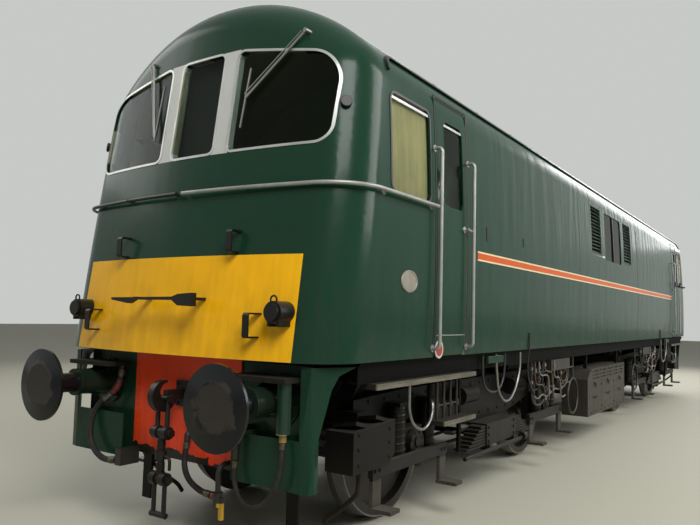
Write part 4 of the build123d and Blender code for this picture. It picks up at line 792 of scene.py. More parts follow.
buffer_steel, buffer_tree, buffer_shader = new_material("buffer_steel")
buffer_axes = place_axes(buffer_tree)
aside = math_node(buffer_tree, "SUBTRACT", buffer_axes["across"], BUFFER_X)
above = math_node(buffer_tree, "SUBTRACT", buffer_axes["height"], BUFFER_Z)
from_middle = centre_distance(buffer_tree, aside, above)
ragged = noise(buffer_tree, buffer_axes["place"], 7.0, 9.0, 0.62)
from_middle = math_node(buffer_tree, "MULTIPLY_ADD", ragged, RAGGED, from_middle)
worn = product(buffer_tree, map_range(buffer_tree, from_middle, WORN_EDGE, (1.0, 0.0)),
               area_mask(buffer_tree, buffer_axes, along=HEAD_FACE_Y))
worn_colour = mottled(buffer_tree, buffer_axes["place"], WORN_TONES, 26.0)
buffer_colour = mix_colour(buffer_tree, worn, BUFFER_BLACK_AND_SHEEN, worn_colour)
housing = area_mask(buffer_tree, buffer_axes, along=HOUSING_Y)
buffer_colour = mix_colour(buffer_tree, housing, buffer_colour, HOUSING_GREEN)
add_dirt(buffer_tree, buffer_shader, buffer_colour, amount=0.25, levels=(0.8, 1.5), roughness=(0.20, 0.5))
set_values(buffer_shader, {"Specular IOR Level": 0.3, "Metallic": 0.2})
dress(buffer_steel, "buffers")
coupling_iron = worn_metal("coupling_iron", (0.020, 0.019, 0.018, 1), roughness=0.36, metallic=0.5, dust=0.35)
dress(coupling_iron, "couplings")

# Timber steps: hardwood planks on steel brackets, black with dirt and pale along the
# outer edge, worn by boots and lightened further as a painted highlight.

TIMBER_TONES = ((0.005, 0.0045, 0.0036, 1), (0.028, 0.024, 0.017, 1))
# Pale outer edge: boot wear and a painted highlight
TIMBER_WORN_HIGHLIGHT = (0.26, 0.235, 0.18, 1)
TIMBER_EDGE_X = (1.352, 1.5)
GRAIN_RUN = (14.0, 1.2, 14.0)

step_timber, timber_tree, timber_shader = new_material("step_timber")
timber_axes = place_axes(timber_tree)
timber_run = shader_node(timber_tree, "Mapping", {"Vector": timber_axes["place"], "Scale": GRAIN_RUN})
grain = noise(timber_tree, timber_run.outputs["Vector"], 3.0, 8.0)
plank_colour = mix_colour(timber_tree, grain, *TIMBER_TONES)
# The pale outer edge is boot wear and a painted highlight
outer_edge_wear_and_highlight = product(timber_tree, area_mask(timber_tree, timber_axes, across=TIMBER_EDGE_X), grain)
timber_colour = mix_colour(timber_tree, outer_edge_wear_and_highlight, plank_colour, TIMBER_WORN_HIGHLIGHT)
add_dirt(timber_tree, timber_shader, timber_colour, amount=0.3, levels=(0.8, 1.4), roughness=(0.7, 0.9),
         top_dust=0.2)
set_values(timber_shader, {"Specular IOR Level": 0.12})
dress(step_timber, "timber_steps")

# Pantograph: steel tubes in aluminium paint, sooty, folded down into the roof well,
# on brown porcelain posts and with carbon strips on its head.

BASE_GREY = (0.22, 0.22, 0.21, 1)
HEAD_GREY = (0.27, 0.27, 0.26, 1)
PORCELAIN_BROWN = (0.055, 0.014, 0.006, 1)
CARBON = (0.014, 0.014, 0.015, 1)
# Areas of the base and of the head: colour, then the ranges across, along and up
POST_AREAS = ((PORCELAIN_BROWN, (0.46, 0.58), (0.44, 0.56), (3.572, 3.652)),)
STRIP_AREAS = ((CARBON, (-0.1, 0.53), EVERYWHERE, (3.966, 4.1)),)


def panto_paint(name, colour, areas, roughness):
    material, tree, shader = new_material(name)
    painted = paint_areas(tree, place_axes(tree), colour, areas)
    add_dirt(tree, shader, painted, amount=0.5, levels=(3.5, 4.0), roughness=roughness)
    return material


panto_metal = worn_metal("panto_metal", (0.34, 0.34, 0.33, 1), roughness=0.4, metallic=0.6, dust=0.5)
dress(panto_metal, "panto_lower_1", "panto_lower_2", "panto_upper_1", "panto_upper_2")
dress(panto_paint("panto_frame", BASE_GREY, POST_AREAS, (0.25, 0.6)), "panto_base")
dress(panto_paint("panto_strip", HEAD_GREY, STRIP_AREAS, (0.3, 0.6)), "panto_head")

# Middle screen: a dark blank roller blind of cloth hangs close behind its glass,
# tilted with the cab front.

BLIND_X = (-0.235, 0.235)
BLIND_Z = (2.74, 3.54)
BLIND_DEPTH = 0.09
BLIND_THICK = 0.01
FRONT_FOOT_Y = -7.365
FRONT_SLOPE = 0.13609
BODY_FOOT_Z = 1.333


def front_y(z, out=0.0):
    """Where the cab front's middle line lies at a height."""
    return FRONT_FOOT_Y + FRONT_SLOPE * (z - BODY_FOOT_Z) - out


def add_box(shape, x, y, z):
    corners = [shape.verts.new((a, b, c)) for a in x for b in y for c in z]
    for loop in ((0, 1, 3, 2), (4, 6, 7, 5), (0, 4, 5, 1), (2, 3, 7, 6), (0, 2, 6, 4), (1, 5, 7, 3)):
        shape.faces.new([corners[i] for i in loop])
    return corners


def turned_copy(shape):
    """The same shape at the number 2 end."""
    other = shape.copy()
    bmesh.ops.rotate(other, verts=other.verts, cent=(0, 0, 0), matrix=Matrix.Rotation(pi, 3, "Z"))
    return other


def join_shapes(*shapes):
    joined = bmesh.new()
    for shape in shapes:
        mesh = bpy.data.meshes.new("joining")
        shape.to_mesh(mesh)
        joined.from_mesh(mesh)
        bpy.data.meshes.remove(mesh)
        shape.free()
    return joined


def both_ends(shape):
    return join_shapes(turned_copy(shape), shape)


blind_dark = plain_paint("blind_dark", (0.018, 0.015, 0.013, 1), amount=0.6, levels=(2.5, 4.0),
                         roughness=(0.6, 0.8), dirt_colour=(0.05, 0.03, 0.022, 1))
middle_blind = bmesh.new()
for corner in add_box(middle_blind, BLIND_X, (0, BLIND_THICK), BLIND_Z):
    corner.co.y += front_y(corner.co.z, -BLIND_DEPTH)
add_piece("middle_blinds", both_ends(middle_blind), blind_dark, "body")

# Beam lips: the folded top edge of each red beam panel, a steel strip that closes the
# gap up to the cab front's lower edge.

LIP_X = (-0.54, 0.54)
LIP_Y = (-7.125, -7.103)
LIP_Z = (1.2705, 1.3290)
lip = bmesh.new()
add_box(lip, LIP_X, LIP_Y, LIP_Z)
add_piece("beam_lips", both_ends(lip), beam_red, "body")

# Door furniture on all four cab doors: a turned lever handle on a round rose, a low
# seam where the leaf's lower plate begins, and a bright bar along the window's top that
# is a painted reflection.

DOOR_HANDLE = (5.412, 2.36)
# Parts of the handle: ends as (out, along, up) from its pin, radius and sides
HANDLE_BARS = (
    (((-0.010, 0.00, 0), (0.045, 0.00, 0)), 0.011, 10),
    (((0.040, 0.01, 0), (0.040, -0.10, -0.012)), 0.009, 10),
    (((-0.002, 0.00, 0), (0.006, 0.00, 0)), 0.028, 16),
)
DOOR_SEAM_Y = (5.360, 5.874)
DOOR_SEAM_Z = (1.493, 1.501)
DOOR_SEAM_DEPTHS = (-0.004, 0.003)
DOOR_PANE_Y = (5.432, 5.763)
PANE_GLINT_BAR_Z = (3.150, 3.168)
PANE_GLINT_BAR_DEPTHS = (-0.013, -0.002)
SIDE_ARC_RADIUS = 16.7
WAIST_Z = 2.15
WAIST_X = 1.370


def side_x(z, out=0.0):
    """Where the body's slightly curved side lies at a height, up to the shoulder."""
    return WAIST_X - SIDE_ARC_RADIUS + (SIDE_ARC_RADIUS**2 - (z - WAIST_Z) ** 2) ** 0.5 + out


def add_side_box(shape, level, depths, y, z):
    """A box on the body's side, set in or out from where the side lies at one level."""
    add_box(shape, [side_x(level, depth) for depth in depths], y, z)


def add_door_piece(number, hand, part, shape, material):
    """Turns a shape drawn at y > 0 on the right to a door's own end and side."""
    hand_signs = {"right": 1, "left": -1}
    end_signs = {1: -1, 2: 1}
    bmesh.ops.scale(shape, verts=shape.verts, vec=(hand_signs[hand], end_signs[number], 1))
    door = f"door_{number}_{hand}"
    add_piece(f"{door}_{part}", shape, material, door)


for number in (1, 2):
    for hand in ("right", "left"):
        handle = bmesh.new()
        y, z = DOOR_HANDLE
        for ends, radius, sides in HANDLE_BARS:
            bar = [(side_x(z, out), y + along, z + up) for out, along, up in ends]
            add_tube(handle, bar, radius, sides)
        add_door_piece(number, hand, "handle", handle, bright_frame)
        seam = bmesh.new()
        add_side_box(seam, sum(DOOR_SEAM_Z) / 2, DOOR_SEAM_DEPTHS, DOOR_SEAM_Y, DOOR_SEAM_Z)
        add_door_piece(number, hand, "seam", seam, rail_paint)
        # A bright bar as a painted reflection along the top of the door window
        pane_glint_bar = bmesh.new()
        add_side_box(pane_glint_bar, PANE_GLINT_BAR_Z[1], PANE_GLINT_BAR_DEPTHS, DOOR_PANE_Y, PANE_GLINT_BAR_Z)
        add_door_piece(number, hand, "pane_glint_bar", pane_glint_bar, bright_frame)

# Plates on the cab side, both blank: a cast oval plate with a raised rim, and a small
# enamelled disc, red with a white rim, low beside the door, each screwed on.

# Each plate: middle along and up, and radius
OVAL_PLATE = (-6.330, 1.883, 0.066)
ENAMEL_DISC = (-5.818, 1.391, 0.070)
ENAMEL_FACE = (-5.818, 1.391, 0.052)
OVAL_STRETCH = (1, 1.80, 1.20)
OVAL_THICK = 0.005
OVAL_RIM = 0.004
RIM_INSET = 0.006
RIM_STEPS = 32
DISC_THICK = 0.003
FACE_THICK = 0.005
PLATE_SINK = 0.004


def arc_points(centre, radius, start, end, steps):
    """Points on an arc that faces along X."""
    points = []
    for step in range(steps + 1):
        angle = start + (end - start) * step / steps
        points.append(Vector(centre) + Vector((0, radius * cos(angle), radius * sin(angle))))
    return points


def plate_disc(y, z, radius, thick, sides=32):
    shape = bmesh.new()
    x = side_x(z)
    add_tube(shape, [(x - PLATE_SINK, y, z), (x + thick, y, z)], radius, sides)
    return shape


plate_metal = worn_metal("plate_metal", (0.40, 0.37, 0.30, 1), roughness=0.45, metallic=0.6, dust=0.5)
enamel_white = plain_paint("enamel_white", (0.62, 0.60, 0.54, 1), amount=0.4, levels=(1.0, 2.0),
                           roughness=(0.3, 0.6))
enamel_red = plain_paint("enamel_red", (0.42, 0.030, 0.020, 1), amount=0.3, levels=(1.0, 2.0),
                         roughness=(0.3, 0.6))
rim_y, rim_z, rim_radius = OVAL_PLATE
rim = bmesh.new()
rim_middle = (side_x(rim_z) + OVAL_THICK, rim_y, rim_z)
add_tube(rim, arc_points(rim_middle, rim_radius - RIM_INSET, 0, 2 * pi, RIM_STEPS), OVAL_RIM, 6)
oval_plate = join_shapes(plate_disc(*OVAL_PLATE, OVAL_THICK), rim)
to_middle = Matrix.Translation((0, -rim_y, -rim_z))
bmesh.ops.scale(oval_plate, verts=oval_plate.verts, vec=OVAL_STRETCH, space=to_middle)
add_piece("oval_plates", both_ends(oval_plate), plate_metal, "body")
enamel_back = plate_disc(*ENAMEL_DISC, DISC_THICK)
add_piece("enamel_disc_rims", both_ends(enamel_back), enamel_white, "body")
enamel_face = plate_disc(*ENAMEL_FACE, FACE_THICK)
add_piece("enamel_disc_faces", both_ends(enamel_face), enamel_red, "body")

# Body side joints and slots: narrow cover strips welded over the two plate joints,
# and black slots for lamp brackets near the cab, drawn as black boxes whose black is
# painted shade inside the openings.

JOINT_YS = (-1.93, 1.63)
JOINT_HALF = 0.006
JOINT_Z = (1.345, 3.20)
JOINT_OUT = 0.0012
STRIP_STEPS = 12
# Slots: middle along and up, half width and height
SLOTS = ((-4.92, 2.38, 0.022, 0.13), (-3.99, 2.40, 0.016, 0.09))
SLOT_DEPTHS = (-0.002, 0.004)


def close_strip(shape, rows):
    """Skins a run of four-cornered rows and closes both of its ends."""
    for low, high in zip(rows, rows[1:]):
        for i in range(4):
            shape.faces.new((low[i], low[(i + 1) % 4], high[(i + 1) % 4], high[i]))
    shape.faces.new(rows[0])
    shape.faces.new(list(reversed(rows[-1])))


def add_side_strip(shape, y, half, z0, z1, out):
    """A thin upright strip that follows the side's curve."""
    rows = []
    for step in range(STRIP_STEPS + 1):
        z = z0 + (z1 - z0) * step / STRIP_STEPS
        rows.append([shape.verts.new((side_x(z, depth), y + edge, z))
                     for edge, depth in ((-half, -0.003), (half, -0.003), (half, out), (-half, out))])
    close_strip(shape, rows)


joint_strips = bmesh.new()
for y in JOINT_YS:
    add_side_strip(joint_strips, y, JOINT_HALF, *JOINT_Z, JOINT_OUT)
add_piece("joint_strips", both_ends(joint_strips), body_paint, "body")
# Black boxes stand for the slots; their black is painted shade inside the openings
slots = bmesh.new()
for y, z, half, height in SLOTS:
    add_side_box(slots, z, SLOT_DEPTHS, (y - half, y + half), (z - height / 2, z + height / 2))
add_piece("side_slots", both_ends(slots), black_enamel, "body", bevel=0.002)

# Cab side windows: cream cloth sun blinds drawn down close behind the glass, and a
# bright bar along the top of each opening that is a painted reflection.

SIDE_PANE_Y = (-6.582, -6.018)
SIDE_PANE_Z = (2.505, 3.185)
SIDE_GLINT_BAR_Z = (3.150, 3.170)
SIDE_GLINT_BAR_DEPTHS = (-0.011, -0.001)
BLIND_DEPTHS = (-0.036, -0.028)
BLIND_ROWS = 8


def mirrored_copy(shape):
    other = shape.copy()
    bmesh.ops.scale(other, verts=other.verts, vec=(-1, 1, 1))
    bmesh.ops.reverse_faces(other, faces=other.faces)
    return other


def both_sides(shape):
    return join_shapes(mirrored_copy(shape), shape)


blind_cream = plain_paint("blind_cream", (0.30, 0.265, 0.125, 1), amount=0.5, levels=(2.4, 3.9),
                          roughness=(0.7, 0.85))
side_blind = bmesh.new()
for depth in BLIND_DEPTHS:
    rows = []
    for step in range(BLIND_ROWS + 1):
        z = SIDE_PANE_Z[0] + (SIDE_PANE_Z[1] - SIDE_PANE_Z[0]) * step / BLIND_ROWS
        rows.append([side_blind.verts.new((side_x(z, depth), y, z)) for y in SIDE_PANE_Y])
    for low, high in zip(rows, rows[1:]):
        side_blind.faces.new((low[0], low[1], high[1], high[0]))
outline = [edge for edge in side_blind.edges if edge.is_boundary]
bmesh.ops.bridge_loops(side_blind, edges=outline)
add_piece("side_blinds", both_ends(both_sides(side_blind)), blind_cream, "body")
# A bright bar as a painted reflection along the top of each side window
side_glint_bar = bmesh.new()
add_side_box(side_glint_bar, SIDE_GLINT_BAR_Z[1], SIDE_GLINT_BAR_DEPTHS, SIDE_PANE_Y, SIDE_GLINT_BAR_Z)
add_piece("side_pane_glint_bars", both_ends(both_sides(side_glint_bar)), bright_frame, "body")

# Bolts and nuts: six-sided steel heads on the beams, buffers, bogies and boxes, painted
# over with what they hold. One tree makes them all from rows of places and directions.


def bolt_tree():
    """A short prism at each point, standing along the point's facing."""
    tree = bpy.data.node_groups.new("bolt_heads", "GeometryNodeTree")
    add_group_inputs(tree, (("Places", "Geometry", None), ("Radius", "Float", 0.012),
                            ("Height", "Float", 0.008), ("Sides", "Int", 6), ("Finish", "Material", None)))
    tree.interface.new_socket("Bolts", in_out="OUTPUT", socket_type="NodeSocketGeometry")
    given = tree.nodes.new("NodeGroupInput")
    result = tree.nodes.new("NodeGroupOutput")
    head = tree.nodes.new("GeometryNodeMeshCylinder")
    facing = tree.nodes.new("GeometryNodeInputNamedAttribute")
    facing.data_type = "FLOAT_VECTOR"
    facing.inputs["Name"].default_value = "facing"
    aim = tree.nodes.new("FunctionNodeAlignRotationToVector")
    aim.axis = "Z"
    row = tree.nodes.new("GeometryNodeInstanceOnPoints")
    real = tree.nodes.new("GeometryNodeRealizeInstances")
    finish = tree.nodes.new("GeometryNodeSetMaterial")
    for source, target in (
        (given.outputs["Sides"], head.inputs["Vertices"]), (given.outputs["Radius"], head.inputs["Radius"]),
        (given.outputs["Height"], head.inputs["Depth"]), (facing.outputs["Attribute"], aim.inputs["Vector"]),
        (given.outputs["Places"], row.inputs["Points"]), (head.outputs["Mesh"], row.inputs["Instance"]),
        (aim.outputs["Rotation"], row.inputs["Rotation"]),
        (row.outputs["Instances"], real.inputs["Geometry"]),
        (real.outputs["Geometry"], finish.inputs["Geometry"]),
        (given.outputs["Finish"], finish.inputs["Material"]),
        (finish.outputs["Geometry"], result.inputs["Bolts"]),
    ):
        tree.links.new(source, target)
    return tree


bolts = bolt_tree()


def grow_bolts(name, rows, material, body, slot, radius=0.012, height=0.010, sides=6):
    """Heads at rows of (place, facing), kept as one plain mesh on a body."""
    mesh = bpy.data.meshes.new(name + "_places")
    mesh.from_pydata([place for place, facing in rows], [], [])
    directions = mesh.attributes.new("facing", "FLOAT_VECTOR", "POINT")
    for item, (place, facing) in zip(directions.data, rows):
        item.vector = facing
    piece = new_object(name, mesh)
    modifier = piece.modifiers.new("bolt_heads", "NODES")
    modifier.node_group = bolts
    values = {"Radius": radius, "Height": height, "Sides": sides, "Finish": material}
    for socket in bolts.interface.items_tree:
        if socket.item_type == "SOCKET" and socket.in_out == "INPUT" and socket.name in values:
            modifier[socket.identifier] = values[socket.name]
    evaluated = piece.evaluated_get(bpy.context.evaluated_depsgraph_get())
    grown = bpy.data.meshes.new_from_object(evaluated)
    piece.modifiers.clear()
    piece.data = grown
    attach(piece, body)


def bolt_line(start, gap, count, facing):
    """Evenly spaced places along a straight line, all facing one way."""
    return [(tuple(at + apart * step for at, apart in zip(start, gap)), facing) for step in range(count)]


def turned_rows(rows):
    return [((-x, -y, z), (-a, -b, c)) for (x, y, z), (a, b, c) in rows]


def mirrored_rows(rows):
    return [((-x, y, z), (-a, b, c)) for (x, y, z), (a, b, c) in rows]


def rows_all_round(rows):
    """The rows at all four corners of the object."""
    rows = rows + mirrored_rows(rows)
    return rows + turned_rows(rows)


def ring_rows(centre, axis, radius, count, start=0.0):
    """Places round a circle that faces along an axis, x or y, with its sign."""
    x, y, z = centre
    sign = -1 if axis[0] == "-" else 1
    rows = []
    for step in range(count):
        angle = start + 2 * pi * step / count
        a, b = radius * cos(angle), radius * sin(angle)
        if axis[-1] == "x":
            rows.append(((x, y + a, z + b), (sign, 0, 0)))
        else:
            rows.append(((x + a, y, z + b), (0, sign, 0)))
    return rows


PANEL_FACE_Y = -7.125
HOOK_PLATE_Y = -7.1455
HOOK_Z = 1.05
BUFFER_FOOT_Y = -7.128
FORWARD = (0, -1, 0)
beam_rows = bolt_line((0.505, PANEL_FACE_Y, 0.655), (0, 0, 0.14), 4, FORWARD)
beam_rows += bolt_line((0.12, PANEL_FACE_Y, 0.645), (0.15, 0, 0), 3, FORWARD)
grow_bolts("beam_bolts", rows_all_round(beam_rows), beam_red, "body", "beam_red", radius=0.011, height=0.010)
hook_rows = bolt_line((0.052, HOOK_PLATE_Y, HOOK_Z - 0.068), (0, 0, 0.136), 2, FORWARD)
grow_bolts("hook_plate_bolts", rows_all_round(hook_rows), coupling_iron, "body", "coupling_iron",
           radius=0.013, height=0.016)
foot_rows = ring_rows((BUFFER_X, BUFFER_FOOT_Y, BUFFER_Z), "-y", 0.148, 4)
grow_bolts("buffer_foot_nuts", rows_all_round(foot_rows), coupling_iron, "body", "buffer_steel",
           radius=0.019, height=0.022)

# Coupling screw: a square thread each side of the middle boss, and hexagon nuts on
# the ends of both cross pins.

SCREW_Y = -7.3153
SCREW_STRETCHES = ((0.520, 0.615), (0.686, 0.765))
THREAD_PITCH = 0.012
THREAD_RADIUS = 0.0305
# Nuts on the pins: how far out, and height
PIN_NUTS = ((0.090, 0.800), (0.088, 0.490), (0.080, 1.032))
thread_rows = []
for low, high in SCREW_STRETCHES:
    turns = int((high - low) / THREAD_PITCH)
    thread_rows += bolt_line((0, SCREW_Y, low), (0, 0, THREAD_PITCH), turns, (0, 0, 1))
grow_bolts("screw_threads", thread_rows + turned_rows(thread_rows), coupling_iron, "body", "coupling_iron",
           THREAD_RADIUS, THREAD_PITCH / 2, sides=18)
nut_rows = [((x, SCREW_Y, z), (1, 0, 0)) for x, z in PIN_NUTS]
grow_bolts("pin_nuts", rows_all_round(nut_rows), coupling_iron, "body", "coupling_iron",
           radius=0.030, height=0.022)

# Bogie fittings: coil springs over the axlebox wings, sand pipes that end before
# the outer wheels, brake rods and beams, and bolted covers, guides and cylinders.

AXLES = (-HALF_WHEELBASE, HALF_WHEELBASE)
COIL_X = 1.076
COIL_SHIFTS = (-0.245, 0.245)
COIL_Z = (0.572, 0.940)
COIL_TURNS = 7
COIL_STEPS = 14
COIL_RADIUS = 0.061
COIL_WIRE = 0.0095
SAND_PIPE = ((1.13, -2.45, 0.605), (1.13, -2.45, 0.47), (1.10, -2.44, 0.40), (0.92, -2.39, 0.25),
             (0.79, -2.34, 0.17), (0.76, -2.30, 0.10))
SAND_PIPE_RADIUS = 0.017
BRAKE_ROD = ((0.97, -0.80, 0.60), (1.035, -0.78, 0.60), (1.035, 0.78, 0.60), (0.97, 0.80, 0.60))
BRAKE_ROD_RADIUS = 0.016
BRAKE_BEAM_YS = (-0.86, 0.86)
BRAKE_BEAM_Z = 0.335
# A brake beam and the collar at its end: range across, height and radius
BRAKE_BEAM_PARTS = (((-0.70, 0.70), 0.335, 0.034), ((0.70, 0.74), 0.331, 0.050))
BRAKE_TIE_XS = (0.24, 0.56)
BRAKE_TIE_RADIUS = 0.018
FRAME_FACE_X = 1.0105
COVER_FACE_X = 1.125
GUIDE_SHIFTS = (-0.175, 0.175)
CYLINDER_YS = (-0.62, 0.62)
# Ends of a brake cylinder: shift from its middle, facing and bolt circle
CYLINDER_ENDS = ((0.152, "+y", 0.064), (-0.177, "-y", 0.070))
CYLINDER_MIDDLE = (1.098, 0.935)
SANDBOX_PLACES = (1.246, (-2.23, -2.62), (0.655, 0.755, 0.85))
SPRING_PLACES = (1.201, (-0.325, 0.325), (0.485, 0.55, 0.615))
SHOE_SHIFTS = (-0.685, 0.340)


def smooth_route(points, steps=6):
    """More points on an even curve through the given ones."""
    points = [Vector(point) for point in points]
    ends = [points[0] * 2 - points[1]] + points + [points[-1] * 2 - points[-2]]
    route = []
    for a, b, c, d in zip(ends, ends[1:], ends[2:], ends[3:]):
        for step in range(steps):
            s = step / steps
            route.append(0.5 * (2 * b + (c - a) * s + (2 * a - 5 * b + 4 * c - d) * s**2
                                + (3 * b - a - 3 * c + d) * s**3))
    return route + [points[-1]]


def on_both_bogies(name, shape, material):
    """A shape drawn about a bogie's middle, on both its sides and on both bogies."""
    whole = both_sides(shape)
    bmesh.ops.translate(whole, verts=whole.verts, vec=(0, -BOGIE_Y, 0))
    other = turned_copy(whole)
    add_piece(f"bogie_1_{name}", whole, material, "bogie_1")
    add_piece(f"bogie_2_{name}", other, material, "bogie_2")


def bolts_on_both_bogies(name, rows, material, *sizes):
    rows = rows + mirrored_rows(rows)
    rows = [((x, y - BOGIE_Y, z), facing) for (x, y, z), facing in rows]
    grow_bolts(f"bogie_1_{name}", rows, material, "bogie_1", "bogie_black", *sizes)
    grow_bolts(f"bogie_2_{name}", turned_rows(rows), material, "bogie_2", "bogie_black", *sizes)


def face_rows(x, ys, zs):
    """A grid of places on an upright face that looks out to the side."""
    return [((x, y, z), (1, 0, 0)) for y in ys for z in zs]


coils = bmesh.new()
coil_points = COIL_TURNS * COIL_STEPS
for axle in AXLES:
    for shift in COIL_SHIFTS:
        route = []
        for step in range(coil_points + 1):
            angle = 2 * pi * step / COIL_STEPS
            rise = COIL_Z[0] + (COIL_Z[1] - COIL_Z[0]) * step / coil_points
            route.append((COIL_X + COIL_RADIUS * cos(angle), axle + shift + COIL_RADIUS * sin(angle), rise))
        add_tube(coils, route, COIL_WIRE, 6)
on_both_bogies("coil_springs", coils, finishes["box_grime"])
sand_pipes = bmesh.new()
add_tube(sand_pipes, smooth_route(SAND_PIPE), SAND_PIPE_RADIUS, 12)
on_both_bogies("sand_pipes", sand_pipes, finishes["rusty_iron"])
rods = bmesh.new()
add_tube(rods, BRAKE_ROD, BRAKE_ROD_RADIUS, 12)
on_both_bogies("brake_rods", rods, finishes["rusty_iron"])
beams = bmesh.new()
for y in BRAKE_BEAM_YS:
    for (x0, x1), z, radius in BRAKE_BEAM_PARTS:
        add_tube(beams, [(x0, y, z), (x1, y, z)], radius, 14)
for x in BRAKE_TIE_XS:
    add_tube(beams, [(x, y, BRAKE_BEAM_Z) for y in BRAKE_BEAM_YS], BRAKE_TIE_RADIUS)
on_both_bogies("brake_beams", beams, finishes["rusty_iron"])
cover_rows = []
cap_rows = []
frame_rows = []
for axle in AXLES:
    cover_rows += ring_rows((COVER_FACE_X, axle, AXLE_HEIGHT), "+x", 0.090, 8, pi / 8)
    cap_rows.append(((COVER_FACE_X + 0.003, axle, AXLE_HEIGHT + 0.012), (1, 0, 0)))
    for shift in GUIDE_SHIFTS:
        frame_rows += bolt_line((FRAME_FACE_X, axle + shift, 0.52), (0, 0, 0.075), 4, (1, 0, 0))
frame_rows += bolt_line((FRAME_FACE_X, -2.15, 1.005), (0, 0.2263, 0), 20, (1, 0, 0))
frame_rows += bolt_line((FRAME_FACE_X, -1.05, 0.72), (0, 0.233, 0), 10, (1, 0, 0))
cylinder_x, cylinder_z = CYLINDER_MIDDLE
cylinder_rows = []
for middle in CYLINDER_YS:
    for shift, axis, radius in CYLINDER_ENDS:
        cylinder_rows += ring_rows((cylinder_x, middle + shift, cylinder_z), axis, radius, 8)
shoe_rows = [((1.186, axle + shift + side, 0.555), (1, 0, 0))
             for axle in AXLES for shift in SHOE_SHIFTS for side in (-0.03, 0.03)]
# Bolts: name, places, finish, radius, height and sides
BOGIE_BOLTS = (
    ("cover_bolts", cover_rows, "box_grime", 0.011, 0.012, 6),
    ("cover_caps", cap_rows, "box_grime", 0.040, 0.014, 20),
    ("frame_bolts", frame_rows, "frame_grime", 0.014, 0.014, 6),
    ("cylinder_bolts", cylinder_rows, "frame_grime", 0.008, 0.010, 6),
    ("sandbox_bolts", face_rows(*SANDBOX_PLACES), "frame_grime", 0.012, 0.012, 6),
    ("spring_bolts", face_rows(*SPRING_PLACES), "box_grime", 0.015, 0.016, 6),
    ("shoe_bolts", shoe_rows, "rusty_iron", 0.013, 0.016, 6),
)
for name, rows, finish, radius, height, sides in BOGIE_BOLTS:
    bolts_on_both_bogies(name, rows, finishes[finish], radius, height, sides)

# Body pipes below the solebar: a dense rack of copper and steel pipes with unions, a
# bright bent pipe before the lower step, and thin drain pipes down from the body.

BRIGHT_PIPE = ((1.285, -6.15, 1.148), (1.285, -6.15, 1.05), (1.285, -6.145, 0.96), (1.285, -6.10, 0.87),
               (1.285, -6.02, 0.815), (1.285, -5.93, 0.795), (1.285, -5.85, 0.82), (1.285, -5.79, 0.88),
               (1.28, -5.765, 0.95), (1.26, -5.75, 0.98), (1.232, -5.71, 0.985))
# Rack pipes: finish, radius and points (x, y, z)
RACK_ROUTES = (
    ("copper", 0.008, ((1.31, -3.46, 1.186), (1.31, -3.46, 1.02), (1.31, -3.40, 0.95), (1.31, -3.22, 0.93),
                       (1.31, -3.15, 0.86), (1.31, -3.13, 0.74))),
    ("steel", 0.010, ((1.325, -3.38, 1.186), (1.325, -3.38, 1.09), (1.325, -3.30, 1.04), (1.325, -3.12, 1.03),
                      (1.325, -3.06, 0.97), (1.325, -3.05, 0.80))),
    ("copper", 0.007, ((1.34, -3.24, 1.186), (1.34, -3.24, 1.12), (1.34, -3.17, 1.08), (1.34, -3.02, 1.06),
                       (1.34, -2.97, 0.99), (1.34, -2.96, 0.84), (1.34, -2.90, 0.78), (1.34, -2.76, 0.77))),
    ("steel", 0.009, ((1.315, -3.52, 0.84), (1.315, -3.40, 0.80), (1.315, -3.25, 0.83), (1.315, -3.10, 0.80),
                      (1.315, -2.95, 0.83), (1.315, -2.80, 0.86), (1.315, -2.66, 0.84))),
    ("iron", 0.012, ((1.30, -3.55, 1.186), (1.30, -3.55, 0.90), (1.30, -3.51, 0.79), (1.30, -3.40, 0.735),
                     (1.30, -3.26, 0.73), (1.30, -3.16, 0.77))),
    ("steel", 0.008, ((1.33, -2.88, 1.186), (1.33, -2.88, 1.05), (1.33, -2.82, 0.99), (1.33, -2.70, 0.98),
                      (1.33, -2.64, 0.92), (1.33, -2.63, 0.80), (1.33, -2.57, 0.75), (1.33, -2.45, 0.76))),
    ("copper", 0.007, ((1.315, -2.58, 1.06), (1.315, -2.58, 0.98), (1.315, -2.52, 0.93), (1.315, -2.40, 0.93),
                       (1.315, -2.34, 0.99), (1.315, -2.33, 1.06))),
    ("steel", 0.012, ((1.335, -4.62, 1.31), (1.335, -4.60, 1.15), (1.33, -4.54, 0.98), (1.325, -4.42, 0.885),
                      (1.32, -4.30, 0.86), (1.32, -4.18, 0.89), (1.325, -4.06, 1.00), (1.335, -4.00, 1.15),
                      (1.335, -3.99, 1.31))),
    ("iron", 0.011, ((1.325, -4.90, 1.31), (1.325, -4.90, 1.17), (1.32, -4.86, 1.06), (1.315, -4.74, 0.99),
                     (1.315, -4.58, 0.97), (1.32, -4.46, 1.02), (1.33, -4.41, 1.12), (1.335, -4.40, 1.31))),
    ("iron", 0.013, ((1.29, -2.20, 1.186), (1.29, -2.20, 1.06), (1.29, -2.24, 0.93), (1.29, -2.36, 0.86),
                     (1.29, -2.52, 0.84))),
)
DRAIN_PIPE = ((1.362, -3.79, 1.50), (1.362, -3.79, 1.36), (1.345, -3.79, 1.20), (1.335, -3.75, 1.05),
              (1.325, -3.62, 0.93), (1.318, -3.52, 0.86))
DRAIN_RADIUS = 0.008
UNIONS = ((1.31, -3.46, 1.10), (1.31, -3.13, 0.78), (1.325, -3.38, 1.13), (1.325, -3.05, 0.86),
          (1.34, -3.24, 1.15), (1.34, -2.96, 0.90), (1.33, -2.88, 1.12), (1.33, -2.63, 0.86),
          (1.30, -3.55, 1.12), (1.30, -3.55, 0.98), (1.315, -2.58, 1.03), (1.29, -2.20, 1.12))
UNION_RADIUS = 0.018
UNION_LENGTH = 0.034
BRIGHT_PIPE_RADIUS = 0.0125
# Small green box on the solebar: ranges of x, y and z
JUNCTION_BOX = ((1.325, 1.352), (-4.83, -4.47), (1.235, 1.300))

